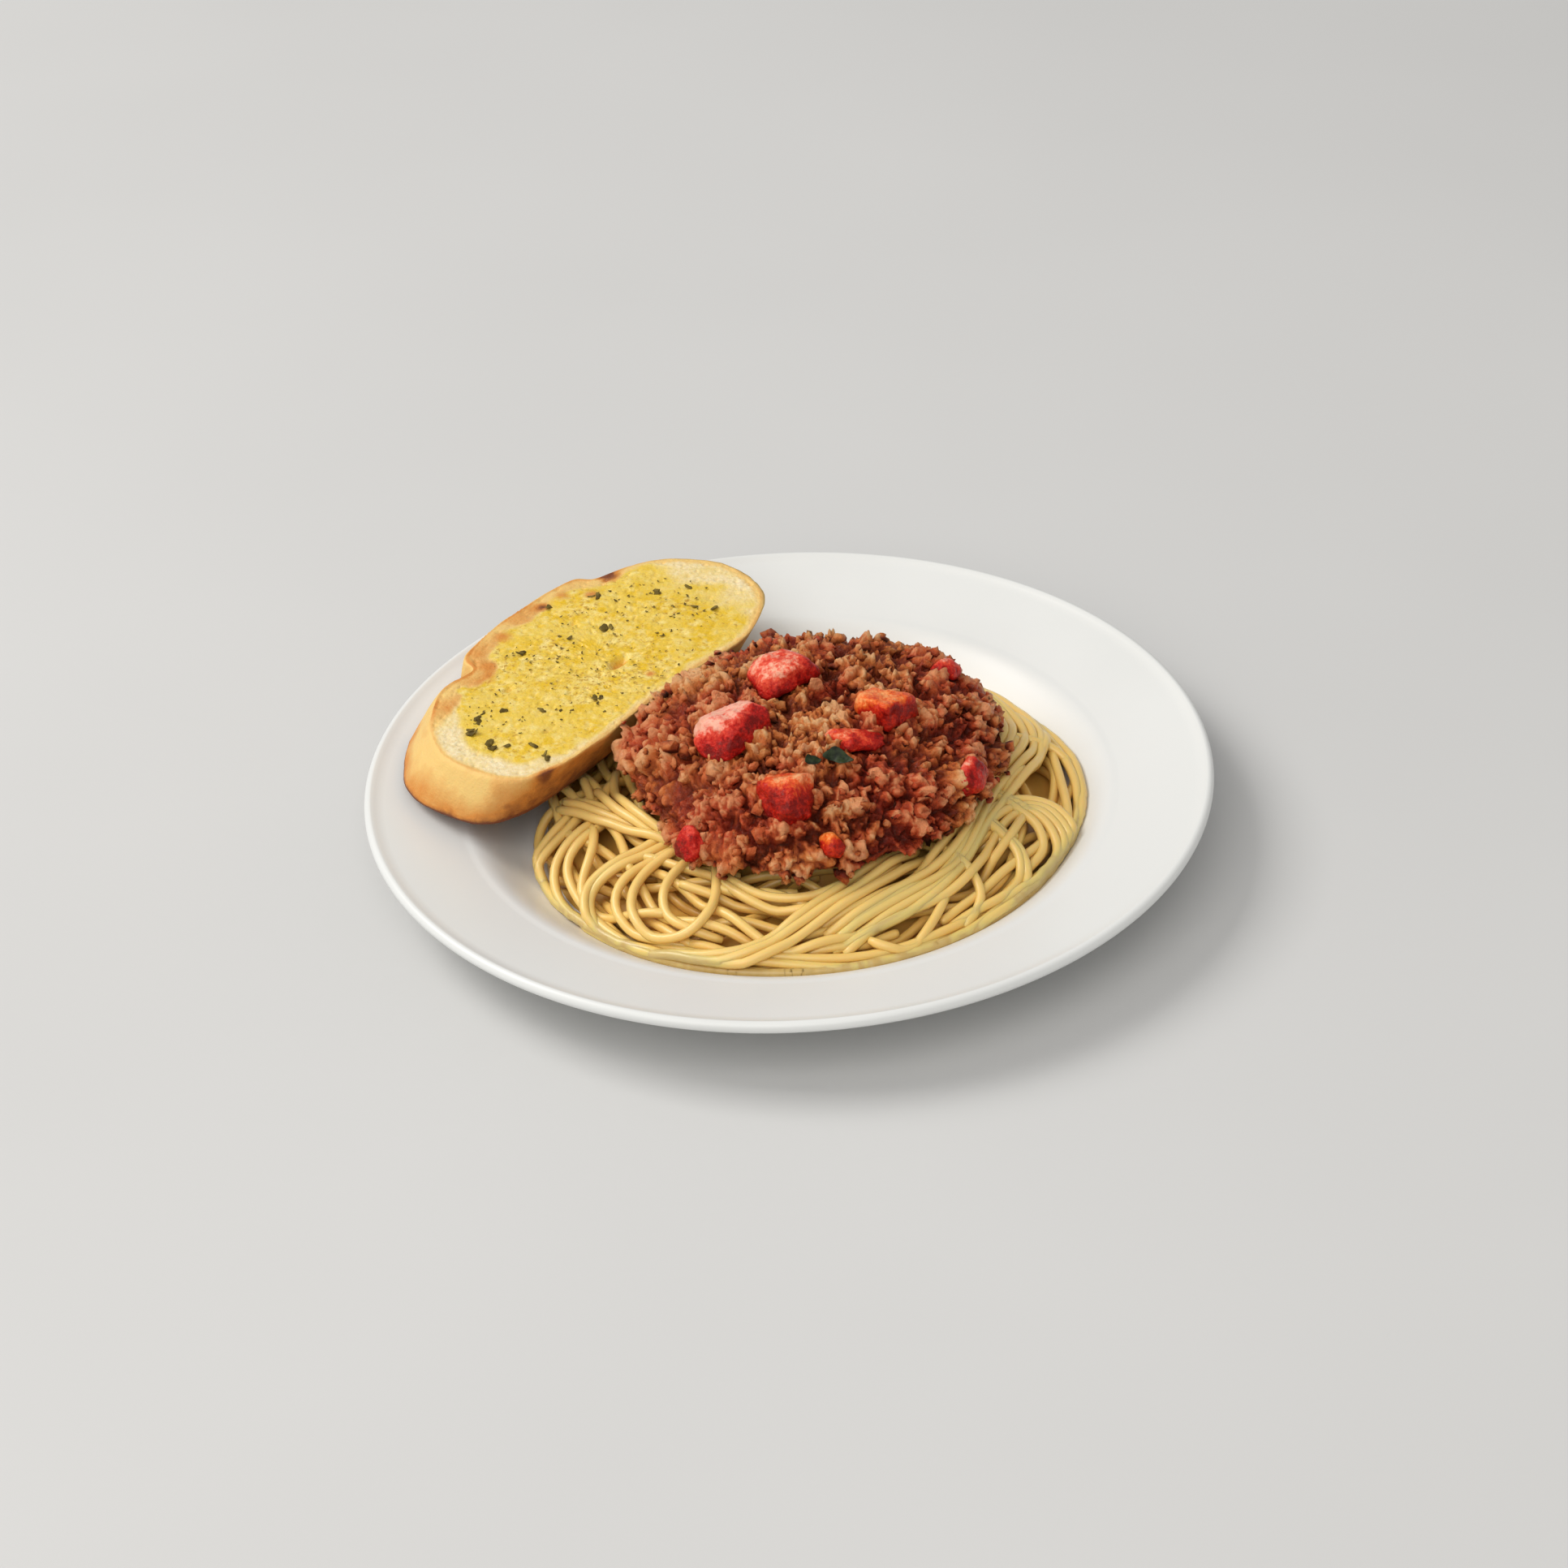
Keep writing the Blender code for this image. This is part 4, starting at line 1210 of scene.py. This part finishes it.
# Browned spots: place along and across the slice, radius in millimetres and how dark.
BROWNED_SPOTS = (
    (-57.6, -27.5, 3.5, 1.3),
    (40, 27, 3.5, 1.1),
    (15, 33, 2.5, 0.8),
    (23, 32, 2.5, 0.6),
    (-6, 32, 3.0, 0.7),
    (-26, 21, 3.0, 0.45),
    (28, 24, 2.5, 0.7),
    (-44, 22, 3.0, 0.4),
    (1, -19, 1.6, 0.8),
)
u = (bread_rings - bread_middle) @ bread_x / MM
v = (bread_rings - bread_middle) @ bread_y / MM
on_face = np.broadcast_to((np.arange(len(bread_rings)) < len(face))[:, None], u.shape)
edge_gap = np.concatenate([from_edge / MM, np.zeros(wall.shape[:2]), np.full(base.shape[:2], 9.0)])
down = np.concatenate([np.zeros(len(face)), np.linspace(0, 1, len(wall)), np.ones(len(base))])[:, None]
wander = soft_noise(bread_rings, 10 * MM, 27)
finer = soft_noise(bread_rings, 4 * MM, 29)
on_dome = smoothstep((v + 4) / 18) * (1 - smoothstep((u - 34) / 16)) * smoothstep((u + 58) / 14)
left_end = 1 - smoothstep((u + 60) / 14)
right_end = smoothstep((u - 43 - 0.12 * v + 6 * wander + 3 * finer) / 13)
band = 1.2 + on_dome * (4.2 + 2.4 * wander + 1.4 * finer) + 1.0 * right_end + 0.5 * finer
crust_face = 1.05 * (1 - smoothstep((edge_gap - band + 1.2) / 3.6))
toast_face = 0.30 * (1 - smoothstep((edge_gap - 0.8) / 1.2))
toast_face += on_dome * 0.29 * (1 - smoothstep((edge_gap - band + 1) / 3)) * (1 + wander + finer)
# Painted shade on the wall: darker on the near side and round the near corner, which face away from the light. It is
# also darker towards the bottom.
near_side = smoothstep((-v - 12) / 12) * smoothstep((u + 60) / 14)
corner = smoothstep((-v - 2) / 18) * (1 - smoothstep((u + 40) / 20))
wall_toast_and_shade = 0.14 * near_side + 0.42 * corner + 0.80 * down**1.3 + 0.18 * wander + 0.12 * finer
wall_toast_and_shade += 0.9 * smoothstep((down - 0.84) / 0.14)
spots = 0
for along_spot, across_spot, radius, amount in BROWNED_SPOTS:
    spots += amount * np.exp(-(((u - along_spot) ** 2 + (v - across_spot) ** 2) / radius**2))
pale_rim = 6.5 * (1 - smoothstep((u + 53 - 0.2 * v) / 15)) + 0.4 + 1.4 * finer + 1.2 * wander
butter_share = smoothstep((edge_gap - pale_rim - 0.3 * band + 1) / 5.0) * (1 - 0.9 * right_end) + 0.30 * wander
layers_painted = {
    "crust": np.where(on_face, crust_face, 1.0),
    "toast": np.where(on_face, toast_face, wall_toast_and_shade) + spots * np.where(on_face, 1, 1 - down),
    "butter": np.where(on_face, butter_share, 0.0),
}
# Painted shade in the bubble holes.
layers_painted["toast"][: len(face)] += 0.50 * hole_shade_share
for name, values in layers_painted.items():
    paint(bread, name, np.concatenate([values.ravel(), [values[0].mean(), values[-1].mean()]]))

# Dried parsley and oregano in the butter: curled flakes, the largest of them listed one by one.
# Each is (place along and across the slice, length) in millimetres.
FLAKES = (
    (-10.6, 21.1, 3.4), (13.9, 8.6, 3.6), (15.5, 7.2, 2.2), (28.1, 21.9, 3.2), (26.8, 23.4, 2.2), (39.9, 7.5, 2.6),
    (47.1, 0.8, 2.4), (41.4, -13.4, 2.8), (38.8, -7.5, 2.2), (-19.1, -13.6, 3.2), (-17.6, -14.6, 2.0),
    (-46.2, 9.2, 3.2), (-53.3, 5.6, 3.4), (-52.0, 7.0, 2.6), (-54.8, -2.3, 3.6), (-56.0, -4.4, 2.6),
    (-48.6, -13.8, 3.0), (-51.8, -21.7, 3.0), (-50.6, -19.6, 2.0), (-39.0, 5.0, 2.4), (-32.4, -4.1, 2.4),
    (-52.7, -7.2, 2.2), (-42.8, 9.7, 2.4), (-47.5, 7.6, 2.4), (14.7, 31.0, 2.4), (4.0, 14.0, 1.8), (20.0, -9.0, 1.8),
)  # fmt: skip
rng = np.random.default_rng(31)
extra = 230
shares = np.sqrt(rng.uniform(0, 1, extra)) * 0.9
spin = rng.uniform(0, 2 * np.pi, extra)
strewn = np.column_stack([shares * np.cos(spin) * 58, shares * np.sin(spin) * 28 + 1])
flake_spots = np.concatenate([np.array(FLAKES)[:, :2], strewn]) * MM
flake_sizes = np.concatenate([1.15 * np.array(FLAKES)[:, 2], rng.uniform(0.4, 1.0, extra) * rng.uniform(0.8, 1.5, extra)])


def flake_rings(places, lengths, seed):
    """Curled leaf flakes, [flake, ring, corner, xyz], with their tips: flat spindles of 4 rings of 6 points, each
    bent up along its length and lying at its own turn and tilt."""
    rng = np.random.default_rng(seed)
    count = len(places)
    t = np.linspace(-0.8, 0.8, 4)
    turn = np.linspace(2 * np.pi, 0, 6, endpoint=False)
    width = rng.uniform(0.42, 0.75, (count, 1, 1)) * np.sqrt(1 - t**2)[None, :, None]
    curl = rng.uniform(0.05, 0.35, (count, 1, 1))
    x = np.broadcast_to(t[None, :, None], (count, 4, 6)) * 0.5
    y = width * np.cos(turn) * 0.5 + 0.10 * rng.normal(size=(count, 4, 1))
    z = 0.07 * np.sin(turn) + curl * (t**2)[None, :, None] * 0.6
    shapes = np.concatenate([np.stack([x, y, z + 0 * x], axis=-1).reshape(count, -1, 3), np.zeros((count, 2, 3))], axis=1)
    shapes[:, -2] = np.concatenate([np.full((count, 1), -0.5), np.zeros((count, 1)), curl[:, 0] * 0.6], axis=1)
    shapes[:, -1] = shapes[:, -2] * [-1, 1, 1]
    lean = rng.normal(0, 0.25, (count, 2))
    shapes[..., 2] += shapes[..., 0] * lean[:, :1] + shapes[..., 1] * lean[:, 1:]
    way = rng.uniform(0, 2 * np.pi, (count, 1))
    x, y = shapes[..., 0].copy(), shapes[..., 1].copy()
    shapes[..., 0] = x * np.cos(way) - y * np.sin(way)
    shapes[..., 1] = x * np.sin(way) + y * np.cos(way)
    shapes = places[:, None] + shapes * lengths[:, None, None]
    return shapes[:, :-2].reshape(count, 4, 6, 3), shapes[:, -2], shapes[:, -1]


def dried_herb():
    """Dried green herb, soaked dark by the butter: olive to nearly black."""
    material = new_material("dried_herb", Roughness=0.7, Specular_IOR_Level=0.2)
    colour = ramp(material, speckle(material, 500, 2), (0.35, (0.085, 0.056, 0.010)), (0.7, (0.24, 0.17, 0.034)))
    link(material, colour, material.node_tree.nodes["Principled BSDF"].inputs["Base Color"])
    bump(material, speckle(material, 2500, 2), 0.4, 0.0002)
    return material


herb_material = dried_herb()
herb_places = bread_middle + flake_spots[:, :1] * bread_x + flake_spots[:, 1:] * bread_y
herb_places[:, 2] = BREAD_TOP + 0.25 * MM
herbs = new_piece(
    "herb_flakes",
    *stacked_rings(*flake_rings(herb_places, flake_sizes * MM, 32)),
    herb_material,
    slot="herb",
)
